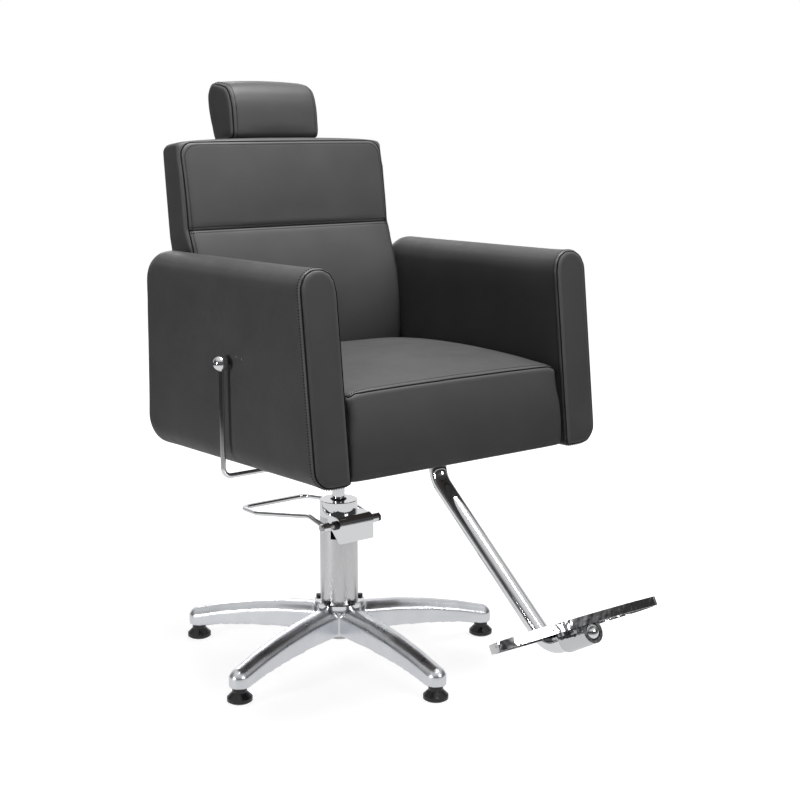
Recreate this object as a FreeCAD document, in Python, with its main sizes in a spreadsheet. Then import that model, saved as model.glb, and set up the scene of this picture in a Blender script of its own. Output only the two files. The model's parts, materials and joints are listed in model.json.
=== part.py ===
import FreeCAD, Part
import math
import os
import re
import Sketcher

# Reclining threading chair on a foot pumped column, in millimetres and degrees.
# The origin is on the floor under the column, the sitter faces -Y and +Z is up.

Vector = FreeCAD.Vector
Rotation = FreeCAD.Rotation
Placement = FreeCAD.Placement

# A size given as text is worked out from the others
SIZES = {
    # Star base
    "star_reach": 310, "star_arms": 5, "star_turn": -90,
    "arm_root_width": 58, "arm_tip_width": 40, "arm_drop": 15, "arm_wall": 4.5,
    "arm_root_top": 106, "arm_tip_top": 66, "arm_root_bottom": 50, "arm_tip_bottom": 28,
    "hub_step": 1, "hub_radius": "flange_radius - hub_step", "hub_top": 104, "hub_bottom": 48,
    # Glides
    "glide_radius": 24, "glide_foot_radius": 19, "glide_waist_radius": 14,
    "glide_rim_low_share": 0.12, "glide_rim_high_share": 0.36, "glide_neck_share": 0.72,
    "stud_radius": 5, "stud_sunk": 16, "stud_end_gap": 1,
    # Pump column
    "column_radius": 38, "column_wall": 3, "column_top": 321, "head_height": 32, "head_lip": 1,
    "flange_rim": 12, "flange_radius": "column_radius + flange_rim", "flange_thick": 10,
    "flange_edge": 2, "flange_bolt_radius": 3, "flange_bolts": 5,
    "flange_head_share": 1.7, "flange_head_high_share": 1.5,
    "barrel_play": 0.5, "cylinder_radius": "column_radius - column_wall"
                                           " - 2 * (plunger_radius + barrel_wall) - barrel_play",
    "cylinder_wall": 8, "cylinder_low": 34, "cylinder_edge": 2.5,
    "bush_radius": "cylinder_radius - cylinder_wall",
    "rod_radius": 12.5, "rod_edge": 2, "piston_height": 14, "lift_down": 100, "floor_gap": 4,
    "rod_low": "cylinder_low + cylinder_wall + floor_gap + lift_down + piston_height",
    "run_gap": 0.05, "seal_width": 4,
    # Pedal shaft, its bracket and the window behind it
    "shaft_out": 9, "shaft_y": "-(column_radius + shaft_out)", "shaft_under": 6,
    "shaft_z": "column_top - head_height - shaft_under", "shaft_radius": 6, "shaft_stub": 3.5,
    "window_edge": 5, "window_drop": 36,
    "bracket_side": 2, "bracket_width": "2 * (column_radius + bracket_side)",
    "bracket_sheet": 3, "bracket_drop": 35, "bracket_cover": 1, "bracket_rear_share": 0.5,
    "bracket_foot_share": 0.9, "bracket_step": 14.4,
    # Pedal
    "wire_radius": 5, "eye_radius": 9, "eye_width": 15, "pedal_left_out": 25,
    "pedal_right_out": 11, "pedal_left": "-(bracket_width / 2 + pedal_left_out)",
    "pedal_right": "bracket_width / 2 + pedal_right_out",
    "shaft_left": "pedal_left - eye_width / 2 - shaft_stub",
    "shaft_right": "pedal_right + eye_width / 2 + slot_play",
    "pedal_bar_run": 274, "pedal_bar_drop": 15, "pedal_bar_half": 80, "pedal_hip_run": 197,
    "pedal_hip_out": 34, "pedal_hip_drop": 8, "pedal_knee_run": 55, "pedal_knee_rise": 11,
    "pedal_bend": 24, "plunger_radius": 4, "plunger_length": 62, "barrel_wall": 1,
    "barrel_drop": 99.2,
    "cam_reach": "shaft_out + column_wall + barrel_wall + plunger_radius + plunger_radius / 2",
    # Swivel socket and mounting plate
    "seat_floor": 466, "socket_radius": 25, "socket_rise": 35, "socket_drop": 41,
    "socket_low": "seat_floor - socket_drop", "socket_high": "seat_floor + socket_rise",
    "socket_cap": 6, "rod_high": "socket_high - socket_cap",
    "plate_half": 100, "plate_thick": 6, "plate_corner": 20, "plate_bolt_pitch": 160,
    "bolt_head_share": 1.8, "bolt_head_high_share": 1.2,
    # Seat box
    "board_thick": 15, "rail_height": 42, "rail_thick": 20,
    "top_board": 12, "box_front": -352, "box_rear": 86,
    "front_bolt_share": 0.72, "rear_bolt_share": 0.18,
    # Seat cushion
    "seat_height": 152, "seat_top": "seat_floor + seat_height", "seat_crown": 17,
    "apron_top": 19, "apron_low": 36, "seat_front_top": "box_front - apron_top",
    "seat_front_low": "box_front - apron_low", "seat_over": 2, "seat_rear": "box_rear + seat_over",
    "seat_side_gap": 1.5, "seat_draw": 13, "seat_edge": 16, "front_edge": 9, "seat_hem": 5,
    "crown_base_share": 0.35, "belly_share": 0.33, "front_draw_share": 0.5,
    "apron_draw_share": 0.4, "rear_draw_share": 0.3,
    # Arm rests
    "arm_inner": 246, "arm_thick": 74, "arm_below": 3, "arm_low": "seat_floor - arm_below",
    "arm_sag": 15, "arm_height": 362, "arm_top": "arm_low + arm_height", "arm_slope": 4,
    "arm_front_top": -350, "arm_front_low": -392, "arm_rear_top": 193, "arm_rear_low": 202,
    "arm_rear_top_bend": 58, "arm_rear_low_bend": 56, "arm_round": 35, "arm_core": 20,
    "arm_core_inset": 58, "arm_bolt_radius": 4, "bolt_gap": 0.3,
    # Recline hinge, with the back in its own leaning frame
    "hinge_out": 64, "hinge_y": "box_rear + hinge_out", "hinge_rise": 84,
    "hinge_z": "seat_floor + hinge_rise", "back_lean": 6.2,
    "bracket_thick": 5, "boss_radius": 18, "bracket_near_share": 0.2, "bracket_foot_gap": 3,
    "bracket_top_gap": 1.5, "bracket_neck": 2.4, "washer_thick": 2.3, "washer_share": 0.8,
    "pin_radius": 6, "pin_end": 1.2, "pin_head_share": 1.6, "half_turn_share": 1.0001,
    "tube_radius": 11, "tube_wall": 3, "upright": 20, "upright_wall": 2, "frame_low": 14,
    "frame_under": 33, "frame_high": "back_top - frame_under", "plate_share": 0.9,
    "plate_rise": 120, "plate_neck": 26, "plate_heel": 3.2,
    # Back cushion
    "back_side_gap": 6, "back_half": "arm_inner - back_side_gap", "back_rear": 39,
    "back_top": 478, "back_low": 30, "back_seam": 303,
    "back_crown": 12, "back_draw": 8, "panel_thick": 11, "panel_low": -25, "panel_play": 0.6,
    "front_top_n": -24, "front_seam_n": -35, "front_low_n": -52, "lumbar_bulge": 19,
    "upper_bulge": 2.67, "top_draw_share": 0.6, "low_draw_share": 0.4,
    "notch_share": 0.35, "notch_rise_share": 0.3, "upper_push_share": 0.5,
    "seam_push_share": 0.8, "low_push_share": 0.4, "notch_lip_share": 0.2,
    "slot_gap": 1.2, "panel_bow_share": 0.35,
    # Headrest
    "head_half": 105, "head_gap": 1, "head_low": "back_top + head_gap", "rest_height": 120,
    "head_top": "head_low + rest_height", "head_front": -2, "head_rear": 95,
    "head_draw": 7, "post_width": 30, "post_thick": 6, "post_n": 16, "post_low": 300,
    "guide_wall": 4, "guide_low": 250, "head_core": 12, "slide_gap": 0.1,
    "front_foot_share": 0.10, "rear_foot_share": 0.17, "rear_bulge_share": 0.03,
    "rear_bulge_high_share": 0.46, "rear_turn_high_share": 0.72, "rear_turn_share": 0.25,
    "rear_round_share": 0.246, "top_turn_share": 0.22, "top_fall_share": 0.15,
    "top_round_share": 1.5, "face_round_share": 0.6, "face_high_share": 0.40,
    "post_high_share": 0.55, "core_half_share": 0.7, "core_low_share": 0.2,
    "core_high_share": 0.65,
    # Gas spring and its lug
    "spring_x": -120, "lug_arm": 55, "lug_swing": 22.5, "spring_radius": 12, "spring_wall": 2,
    "spring_front": -100, "spring_rear": 100, "spring_rod": 5, "spring_neck": 6,
    "spring_end": 8.4, "rod_rest": 4.8, "mount_half": 18, "stick_sunk": 21.6,
    "eye_block": 24, "eye_half_high": 10.8, "eye_thick": 8, "lug_half": 9.6, "lug_thick": 4,
    "lug_pin": 4, "pin_stub": 1, "slot_play": 0.3, "release_pin": 2.5, "release_stick": 12.7,
    # Recline lever
    "lever_gap": 18, "lever_x": "-(arm_inner + arm_thick + lever_gap)", "finger_half": 3,
    "lever_y": "spring_front - spring_radius - spring_wall - release_stick - slot_play"
               " - finger_half",
    "lever_drop": 23, "lever_z": "seat_floor - lever_drop", "lever_radius": 4.5,
    "lever_stub": 32, "lever_end": "spring_x + lever_stub", "lever_bend": 16,
    "lever_reach": 203, "knob_z": "lever_z + lever_reach", "knob_radius": 14,
    "finger_width": 12, "finger_over": 5, "hanger_half": 12, "hanger_foot": 9,
    # Footrest tube
    "foot_tube": 16, "foot_wall": 2.5, "foot_set": 40, "foot_y": "box_front + foot_set",
    "foot_drop": 39, "foot_corner_z": "seat_floor - foot_drop",
    "foot_slope": 37.8, "foot_run": 381, "foot_elbow": 48, "foot_tilt": 30, "foot_end": 100,
    "foot_bore": 30, "foot_bolt_x": 30.4, "foot_bolt_y": 18.24, "flange_margin": 8,
    "sleeve_radius": 20, "sleeve_length": 66, "sleeve_front": 14, "dome_radius": 14,
    "plug_length": 10,
    # Footrest tread
    "tread_half": 179, "tread_end": 30, "tread_middle": 50, "tread_y": 19, "tread_thick": 5,
    "tread_rim": 15, "tread_rim_wall": 6, "tread_lift": 27, "tread_ribs": 13,
    "tread_ribs_half": 132, "tread_rib": 4, "web_half": 18, "brace_half": 33,
    "screw_x": 38, "screw_radius": 3, "screw_head_radius": 5.6, "screw_head": 4,
    "screw_boss": 8,
    # One overrun for every cut
    "past": 5,
}

doc = FreeCAD.newDocument("ThreadingChair")
sheet = doc.addObject("Spreadsheet::Sheet", "Sizes")
nodes = []


def fill_sheet():
    for row, alias in enumerate(SIZES, start=1):
        sheet.set(f"A{row}", alias)
        sheet.set(f"B{row}", "0")
        sheet.setAlias(f"B{row}", alias)
    doc.recompute()
    for row, value in enumerate(SIZES.values(), start=1):
        sheet.set(f"B{row}", f"={value}")
    doc.recompute()


# Expressions over the sheet

def ex(text):
    """The text with each size word turned into a reference to its cell."""
    return re.sub(r"[a-z_]+[a-z_0-9]*", lambda m: cell(m.group(0)), str(text))


def cell(word):
    return "Sizes." + word if word in SIZES else word


def val(text):
    """The number that an expression over the sheet stands for."""
    return float(sheet.evalExpression(ex(text)))


def bind(obj, prop, text):
    obj.setExpression(prop, ex(text))


def place(x="0", y="0", z="0", axis=(0, 0, 1), angle="0"):
    return Placement(Vector(val(x), val(y), val(z)), Rotation(Vector(*axis), val(angle)))


def finish(obj, name):
    """Name a finished sub-part; its name is its file's name."""
    obj.Label = name
    nodes.append(obj)
    return obj


# Part primitives with bound sizes

def block(x, y, z):
    """A box from three pairs of expressions, low and high."""
    box = doc.addObject("Part::Box", "Block")
    for size, axis, (low, high) in zip(("Length", "Width", "Height"), "xyz", (x, y, z)):
        bind(box, size, f"({high}) - ({low})")
        bind(box, f"Placement.Base.{axis}", low)
    return box


TURNS = {"x": Rotation(Vector(0, 1, 0), 90), "y": Rotation(Vector(1, 0, 0), -90),
         "z": Rotation()}


def bar(axis, radius, start, length):
    """A round bar along one axis from a start point."""
    cylinder = doc.addObject("Part::Cylinder", "Bar")
    bind(cylinder, "Radius", radius)
    bind(cylinder, "Height", length)
    cylinder.Placement = Placement(Vector(), TURNS[axis])
    for letter, text in zip("xyz", start):
        bind(cylinder, f"Placement.Base.{letter}", text)
    return cylinder


def cut(base, *tools, refine=True):
    for tool in tools:
        result = doc.addObject("Part::Cut", "Cut")
        result.Base = base
        result.Tool = tool
        result.Refine = refine
        base = result
    return base


def fuse(*shapes):
    result = doc.addObject("Part::MultiFuse", "Fusion")
    result.Shapes = list(shapes)
    return result


def group(*shapes):
    result = doc.addObject("Part::Compound", "Group")
    result.Links = list(shapes)
    return result


# Sketches and solid features

def plane_of(body, role):
    return [o for o in body.Origin.OriginFeatures if o.Role == role][0]


def new_body(name):
    return doc.addObject("PartDesign::Body", name)


def new_sketch(body, role, offset="0"):
    sketch = body.newObject("Sketcher::SketchObject", "Outline")
    sketch.AttachmentSupport = (plane_of(body, role), [""])
    sketch.MapMode = "FlatFace"
    if offset != "0":
        bind(sketch, "AttachmentOffset.Base.z", offset)
    return sketch


def pin_point(sketch, geometry, end, x, y):
    """Hold one point of a sketch at two expressions."""
    for kind, text, axis in (("DistanceX", x, -2), ("DistanceY", y, -1)):
        if str(text) == "0":
            sketch.addConstraint(Sketcher.Constraint("PointOnObject", geometry, end, axis))
            continue
        index = sketch.addConstraint(Sketcher.Constraint(kind, geometry, end, val(text)))
        bind(sketch, f"Constraints[{index}]", text)


def arc_between(start, end, radius, side):
    """The short arc of a radius, which swells to the left of its way for side 1."""
    chord = end.sub(start)
    half = chord.Length / 2
    left = Vector(-chord.y, chord.x, 0).normalize() * side
    middle = (start + end) * 0.5
    centre = middle - left * math.sqrt(max(radius ** 2 - half ** 2, 0))
    return Part.Arc(start, centre + left * radius, end)


def outline(sketch, corners, closed=True):
    """A chain of lines and arcs through corners (x, y) or (x, y, radius, side).

    The radius and side belong to the edge that leaves the corner.
    """
    points = [Vector(val(c[0]), val(c[1]), 0) for c in corners]
    edges = len(corners) if closed else len(corners) - 1
    first = sketch.GeometryCount
    ends = []
    for i in range(edges):
        start = points[i]
        end = points[(i + 1) % len(points)]
        if len(corners[i]) == 4:
            index = sketch.addGeometry(arc_between(start, end, val(corners[i][2]), corners[i][3]))
            turned = sketch.getPoint(index, 1).distanceToPoint(start) > start.distanceToPoint(end) / 2
            ends.append((2, 1) if turned else (1, 2))
        else:
            sketch.addGeometry(Part.LineSegment(start, end))
            ends.append((1, 2))
    for i in range(edges if closed else edges - 1):
        after = (i + 1) % edges
        link = (first + i, ends[i][1], first + after, ends[after][0])
        sketch.addConstraint(Sketcher.Constraint("Coincident", *link))
    for i in range(edges):
        pin_point(sketch, first + i, ends[i][0], corners[i][0], corners[i][1])
    if not closed:
        pin_point(sketch, first + edges - 1, ends[-1][1], corners[-1][0], corners[-1][1])
    for i in range(edges):
        if len(corners[i]) == 4:
            arc = sketch.Geometry[first + i]
            rule = Sketcher.Constraint("Radius", first + i, arc.Radius)
            index = sketch.addConstraint(rule)
            bind(sketch, f"Constraints[{index}]", corners[i][2])
    return sketch


def circle(sketch, x, y, radius):
    shape = Part.Circle(Vector(val(x), val(y), 0), Vector(0, 0, 1), val(radius))
    geometry = sketch.addGeometry(shape)
    pin_point(sketch, geometry, 3, x, y)
    index = sketch.addConstraint(Sketcher.Constraint("Radius", geometry, val(radius)))
    bind(sketch, f"Constraints[{index}]", radius)
    return sketch


def pad(body, sketch, length, reverse=False, middle=False):
    feature = body.newObject("PartDesign::Pad", "Pad")
    feature.Profile = sketch
    bind(feature, "Length", length)
    feature.SideType = "Symmetric" if middle else "One side"
    feature.Reversed = reverse
    return feature


def pocket(body, sketch, length, reverse=False, middle=False):
    feature = body.newObject("PartDesign::Pocket", "Pocket")
    feature.Profile = sketch
    bind(feature, "Length", length)
    feature.SideType = "Symmetric" if middle else "One side"
    feature.Reversed = reverse
    return feature


def turn(body, sketch, axis="V_Axis", kind="Revolution"):
    feature = body.newObject("PartDesign::" + kind, kind)
    feature.Profile = sketch
    feature.ReferenceAxis = (sketch, [axis])
    feature.Angle = 360
    return feature


def loft(body, sketches, kind="AdditiveLoft", ruled=False):
    feature = body.newObject("PartDesign::" + kind, kind)
    feature.Profile = sketches[0]
    feature.Sections = sketches[1:]
    feature.Ruled = ruled
    return feature


def polar(body, originals, count):
    feature = body.newObject("PartDesign::PolarPattern", "PolarPattern")
    feature.Originals = originals
    feature.Axis = (plane_of(body, "Z_Axis"), [""])
    feature.Angle = 360
    bind(feature, "Occurrences", count)
    body.Tip = feature
    return feature


def turned_body(name, corners):
    """A body turned about its Z axis from an outline of radius and height."""
    body = new_body(name)
    turn(body, outline(new_sketch(body, "XZ_Plane"), corners))
    return body


def bow(chord, rise):
    """The radius of an arc that rises over the middle of its chord."""
    return f"({chord} * {chord} / (8 * {rise}) + {rise} / 2)"


def around(radius, degrees):
    """The x and y expressions of a point on a circle about the column."""
    return f"{radius} * cos({degrees})", f"{radius} * sin({degrees})"


# Star base

# Stations along a base arm, from inside the hub to the foot
ARM_SHARES = (0.10, 0.40, 0.62, 0.82, 1.0)
HOLLOW_SHARES = (0.25, 0.40, 0.62, 0.85)
ARM_FALL_POWER = 2.2
ARM_NARROW_POWER = 0.8
ARM_SOLE_POWER = 3
# Creases of the ridge: shares of its half width and of its drop
RIDGE_SHARES = ((0.66, 0.62), (0.23, 0.96))


def arm_section(body, share, wall="0"):
    """One cross section of a base arm: flat skirts under a rounded ridge."""
    fall = share ** ARM_FALL_POWER
    narrow = share ** ARM_NARROW_POWER
    sole = share ** ARM_SOLE_POWER
    half = f"((arm_root_width + (arm_tip_width - arm_root_width) * {narrow}) / 2 - {wall})"
    top = f"(arm_root_top + (arm_tip_top - arm_root_top) * {fall} - {wall})"
    low = f"(arm_root_bottom + (arm_tip_bottom - arm_root_bottom) * {sole})"
    if wall != "0":
        low = f"({low} - past)"
    drop = f"(arm_drop - {wall} / 2)"
    crease = f"{top} - {drop}"
    left = [(f"-{half}", low), (f"-{half}", crease)]
    right = [(half, low), (half, crease)]
    for out, up in RIDGE_SHARES:
        left.append((f"-{half} * {out}", f"{crease} + {drop} * {up}"))
        right.append((f"{half} * {out}", f"{crease} + {drop} * {up}"))
    sketch = new_sketch(body, "YZ_Plane", f"star_reach * {share}")
    return outline(sketch, right + left[::-1])


def star_base():
    body = new_body("StarBase")
    arm = loft(body, [arm_section(body, share) for share in ARM_SHARES], ruled=True)
    nose = new_sketch(body, "XZ_Plane")
    tip = "arm_tip_width / 2"
    ridge = [(f"star_reach + {tip} * {out}", f"arm_tip_top - arm_drop + arm_drop * {up}")
             for out, up in RIDGE_SHARES]
    outline(nose, [
        ("star_reach", "arm_tip_bottom"), (f"star_reach + {tip}", "arm_tip_bottom"),
        (f"star_reach + {tip}", "arm_tip_top - arm_drop"), *ridge, ("star_reach", ridge[-1][1]),
    ])
    axis = nose.addGeometry(Part.LineSegment(
        Vector(val("star_reach"), 0, 0), Vector(val("star_reach"), val("arm_tip_top"), 0)), True)
    pin_point(nose, axis, 1, "star_reach", "0")
    pin_point(nose, axis, 2, "star_reach", "arm_tip_top")
    nose_turn = turn(body, nose, "Axis0")
    hollow = loft(body, [arm_section(body, share, "arm_wall") for share in HOLLOW_SHARES],
                  "SubtractiveLoft", ruled=True)
    stud = circle(new_sketch(body, "XY_Plane", "arm_tip_bottom"), "star_reach", "0", "stud_radius")
    stud_hole = pocket(body, stud, "stud_sunk", reverse=True)
    polar(body, [arm, nose_turn, hollow, stud_hole], "star_arms")
    hub = new_sketch(body, "XY_Plane", "hub_bottom")
    pad(body, circle(hub, "0", "0", "hub_radius"), "hub_top - hub_bottom")
    over = new_sketch(body, "XY_Plane", "hub_top")
    pocket(body, circle(over, "0", "0", "flange_radius + past"), "arm_drop", reverse=True)
    bore = new_sketch(body, "XY_Plane")
    pocket(body, circle(bore, "0", "0", "cylinder_radius + run_gap"), "column_top", reverse=True)
    seat = circle(new_sketch(body, "XY_Plane", "hub_top"), flange_pitch(), "0",
                  "flange_bolt_radius")
    holes = pocket(body, seat, "2 * flange_thick")
    polar(body, [holes], "flange_bolts")
    body.Placement = place(angle="star_turn")
    finish(body, "star_base")


def flange_pitch():
    return "(column_radius + flange_radius) / 2"


def arm_angle(index):
    return f"star_turn + 360 / star_arms * {index}"


def glides():
    """Five round glides and their studs, each kind as one group."""
    feet = []
    studs = []
    for index in range(int(val("star_arms"))):
        height = "arm_tip_bottom"
        body = turned_body("Glide", [
            ("0", "0"), ("glide_foot_radius", "0"),
            ("glide_radius", f"{height} * glide_rim_low_share"),
            ("glide_radius", f"{height} * glide_rim_high_share"),
            ("glide_waist_radius", f"{height} * glide_neck_share"),
            ("glide_waist_radius", height),
            ("stud_radius", height), ("stud_radius", f"{height} / 2"), ("0", f"{height} / 2"),
        ])
        x, y = around("star_reach", arm_angle(index))
        body.Placement = place(x, y)
        feet.append(body)
        studs.append(bar("z", "stud_radius", (x, y, f"{height} / 2"),
                         f"{height} / 2 + stud_sunk - stud_end_gap"))
    finish(group(*feet), "glides")
    finish(group(*studs), "glide_studs")


# Pump column

def pump_column():
    body = new_body("PumpColumn")
    ring = new_sketch(body, "XY_Plane", "hub_top")
    circle(ring, "0", "0", "column_radius - run_gap")
    circle(ring, "0", "0", "column_radius - column_wall")
    pad(body, ring, "column_top - head_height - hub_top")
    window = new_sketch(body, "XZ_Plane")
    half = "(column_radius - window_edge)"
    low = window_low()
    high = "column_top - head_height + past"
    outline(window, [
        (f"-{half}", low), (half, low), (half, high), (f"-{half}", high),
    ])
    pocket(body, window, "2 * column_radius", reverse=True)
    finish(body, "pump_column")


def window_low():
    return "(shaft_z - window_drop)"


def column_flange():
    body = turned_body("ColumnFlange", [
        ("column_radius", "hub_top"), ("flange_radius", "hub_top"),
        ("flange_radius", "hub_top + flange_thick - flange_edge"),
        ("flange_radius - flange_edge", "hub_top + flange_thick"),
        ("column_radius", "hub_top + flange_thick"),
    ])
    hole = circle(new_sketch(body, "XY_Plane", "hub_top"), flange_pitch(), "0",
                  "flange_bolt_radius")
    holes = pocket(body, hole, "flange_thick", reverse=True)
    polar(body, [holes], "flange_bolts")
    body.Placement = place(angle="star_turn")
    finish(body, "column_flange")
    bolts = []
    for index in range(int(val("flange_bolts"))):
        x, y = around(flange_pitch(), f"star_turn + 360 / flange_bolts * {index}")
        shank = bar("z", "flange_bolt_radius", (x, y, "hub_top - flange_thick"),
                    "2 * flange_thick")
        head = bar("z", "flange_bolt_radius * flange_head_share",
                   (x, y, "hub_top + flange_thick"),
                   "flange_bolt_radius * flange_head_high_share")
        bolts.append(fuse(shank, head))
    finish(group(*bolts), "flange_bolts")


def pump_head():
    low = "column_top - head_height"
    body = turned_body("PumpHead", [
        ("cylinder_radius", low), ("column_radius", low),
        ("column_radius", "column_top - head_lip"), ("column_radius - head_lip", "column_top"),
        ("bush_radius", "column_top"),
        ("bush_radius", f"{low} + cylinder_wall"),
        ("cylinder_radius", f"{low} + cylinder_wall"),
    ])
    finish(body, "pump_head")
    bush = turned_body("RodBush", [
        ("rod_radius + run_gap", f"{low} + cylinder_wall"),
        ("bush_radius", f"{low} + cylinder_wall"),
        ("bush_radius", "column_top - seal_width"),
        ("rod_radius + run_gap", "column_top - seal_width"),
    ])
    finish(bush, "rod_bush")
    seal = turned_body("WiperSeal", [
        ("rod_radius + run_gap", "column_top - seal_width"),
        ("bush_radius", "column_top - seal_width"),
        ("bush_radius", "column_top"),
        ("(bush_radius + rod_radius) / 2", "column_top + seal_width / 2"),
        ("rod_radius + run_gap", "column_top + seal_width / 2"),
    ])
    finish(seal, "wiper_seal")


def pump_cylinder():
    """The pressure tube, which stands in the hub bore and ends under the head."""
    bore = "bush_radius"
    high = "column_top - head_height + cylinder_wall"
    body = turned_body("PumpCylinder", [
        ("0", "cylinder_low"), ("cylinder_radius - cylinder_edge", "cylinder_low"),
        ("cylinder_radius", "cylinder_low + cylinder_edge"), ("cylinder_radius", high),
        (bore, high), (bore, "cylinder_low + cylinder_wall"),
        ("0", "cylinder_low + cylinder_wall"),
    ])
    finish(body, "pump_cylinder")


def lift_rod():
    rod = turned_body("PistonRod", [
        ("0", "rod_low"), ("rod_radius", "rod_low"), ("rod_radius", "rod_high - rod_edge"),
        ("rod_radius - rod_edge", "rod_high"), ("0", "rod_high"),
    ])
    finish(rod, "piston_rod")
    bore = "(bush_radius - run_gap)"
    inner = f"({bore} - seal_width / 2)"
    low = "rod_low - piston_height"
    seal_low = "rod_low - piston_height / 2 - seal_width"
    seal_high = "rod_low - piston_height / 2 + seal_width"
    piston = turned_body("Piston", [
        ("0", low), (bore, low), (bore, seal_low), (inner, seal_low),
        (inner, seal_high), (bore, seal_high), (bore, "rod_low"), ("0", "rod_low"),
    ])
    finish(piston, "piston")
    ring = turned_body("PistonSeal", [
        (inner, seal_low), (bore, seal_low), (bore, seal_high), (inner, seal_high),
    ])
    finish(ring, "piston_seal")


# Pedal bracket and pedal

def pedal_bracket():
    body = new_body("PedalBracket")
    outer = "(shaft_radius + eye_radius + bracket_cover)"
    front = f"shaft_y - {outer}"
    top = f"shaft_z + {outer}"
    sheet_in = "bracket_sheet"
    rear = "-column_radius * bracket_rear_share"
    low = "shaft_z - bracket_drop"
    step = "shaft_z - bracket_step"
    side = new_sketch(body, "YZ_Plane")
    outline(side, [
        (rear, top), ("shaft_y", top, outer, -1), (front, "shaft_z"), (front, low),
        (f"{front} + 2 * {sheet_in}", low), ("-column_radius * bracket_foot_share", step),
        (rear, step),
    ])
    pad(body, side, "bracket_width", middle=True)
    inner = new_sketch(body, "YZ_Plane")
    outline(inner, [
        (rear, f"{top} - {sheet_in}"),
        ("shaft_y", f"{top} - {sheet_in}", f"{outer} - {sheet_in}", -1),
        (f"{front} + {sheet_in}", "shaft_z"), (f"{front} + {sheet_in}", f"{low} - past"),
        (rear, f"{low} - past"),
    ])
    pocket(body, inner, f"bracket_width - 2 * {sheet_in}", middle=True)
    column = circle(new_sketch(body, "XY_Plane"), "0", "0", "column_radius")
    pocket(body, column, "2 * column_top", reverse=True)
    bore = circle(new_sketch(body, "YZ_Plane"), "shaft_y", "shaft_z", "shaft_radius + run_gap")
    pocket(body, bore, "2 * bracket_width", middle=True)
    finish(body, "pedal_bracket")


def fillet_path(points, radius):
    """Straight runs joined by tangent arcs, as one wire."""
    edges = []
    start = points[0]
    for before, here, after in zip(points, points[1:], points[2:]):
        back = (before - here).normalize()
        ahead = (after - here).normalize()
        half = back.getAngle(ahead) / 2
        reach = radius / math.tan(half)
        inward = (back + ahead).normalize()
        first = here + back * reach
        last = here + ahead * reach
        middle = here + inward * (radius / math.sin(half) - radius)
        edges.append(Part.LineSegment(start, first).toShape())
        edges.append(Part.Arc(first, middle, last).toShape())
        start = last
    edges.append(Part.LineSegment(start, points[-1]).toShape())
    return Part.Wire(edges)


def bent_wire(points, bend, radius):
    """A round wire swept along runs and bends in space."""
    path = fillet_path([Vector(*(val(c) for c in p)) for p in points], val(bend))
    start = path.Edges[0].valueAt(path.Edges[0].FirstParameter)
    along = path.Edges[0].tangentAt(path.Edges[0].FirstParameter)
    ring = Part.Wire([Part.Circle(start, along, val(radius)).toShape()])
    solid = path.makePipeShell([ring], True, False)
    feature = doc.addObject("Part::Feature", "BentWire")
    feature.Shape = solid
    return feature


def pedal():
    points = []
    for foot, way in (("pedal_left", -1), ("pedal_right", 1)):
        leg = [
            (foot, "shaft_y", "shaft_z"),
            (foot, "shaft_y + pedal_knee_run", "shaft_z + pedal_knee_rise"),
            (f"{foot} + {way} * pedal_hip_out", "shaft_y + pedal_hip_run",
             "shaft_z - pedal_hip_drop"),
            (f"(pedal_left + pedal_right) / 2 + {way} * pedal_bar_half",
             "shaft_y + pedal_bar_run", "shaft_z - pedal_bar_drop"),
        ]
        points += leg if way < 0 else leg[::-1]
    wire = bent_wire(points, "pedal_bend", "wire_radius")
    eyes = [eye_at(foot) for foot in ("pedal_left", "pedal_right")]
    whole = fuse(wire, *eyes)
    shaft_hole = bar("x", "shaft_radius", ("shaft_left", "shaft_y", "shaft_z"),
                     "shaft_right - shaft_left")
    finish(cut(whole, shaft_hole), "pedal_bail")
    shaft = bar("x", "shaft_radius", ("shaft_left", "shaft_y", "shaft_z"),
                "shaft_right - shaft_left")
    finish(shaft, "pedal_shaft")
    collars = []
    for start, length in (
        ("-bracket_width / 2 - slot_play - 2 * washer_thick", "2 * washer_thick"),
        ("bracket_width / 2 + slot_play", "washer_thick"),
    ):
        ring = bar("x", "eye_radius - slot_play", (start, "shaft_y", "shaft_z"), length)
        hole = bar("x", "shaft_radius", (start, "shaft_y", "shaft_z"), length)
        collars.append(cut(ring, hole))
    finish(group(*collars, pedal_nut()), "shaft_fittings")
    boss = bar("x", "shaft_radius + bracket_sheet",
               ("-finger_width / 2", "shaft_y", "shaft_z"), "finger_width")
    arm = block(("-finger_width / 2", "finger_width / 2"),
                ("shaft_y", "shaft_y + cam_reach"),
                ("shaft_z - wire_radius", "shaft_z + wire_radius"))
    hole = bar("x", "shaft_radius", ("-finger_width", "shaft_y", "shaft_z"), "2 * finger_width")
    finish(cut(fuse(boss, arm), hole), "pump_cam")


def eye_at(foot):
    return bar("x", "eye_radius", (f"{foot} - eye_width / 2", "shaft_y", "shaft_z"), "eye_width")


def pedal_nut():
    nut = doc.addObject("Part::Prism", "Nut")
    nut.Polygon = 6
    bind(nut, "Circumradius", "eye_radius")
    bind(nut, "Height", "shaft_radius")
    nut.Placement = Placement(Vector(), TURNS["x"])
    bind(nut, "Placement.Base.x", "shaft_right")
    bind(nut, "Placement.Base.y", "shaft_y")
    bind(nut, "Placement.Base.z", "shaft_z")
    return nut


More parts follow.
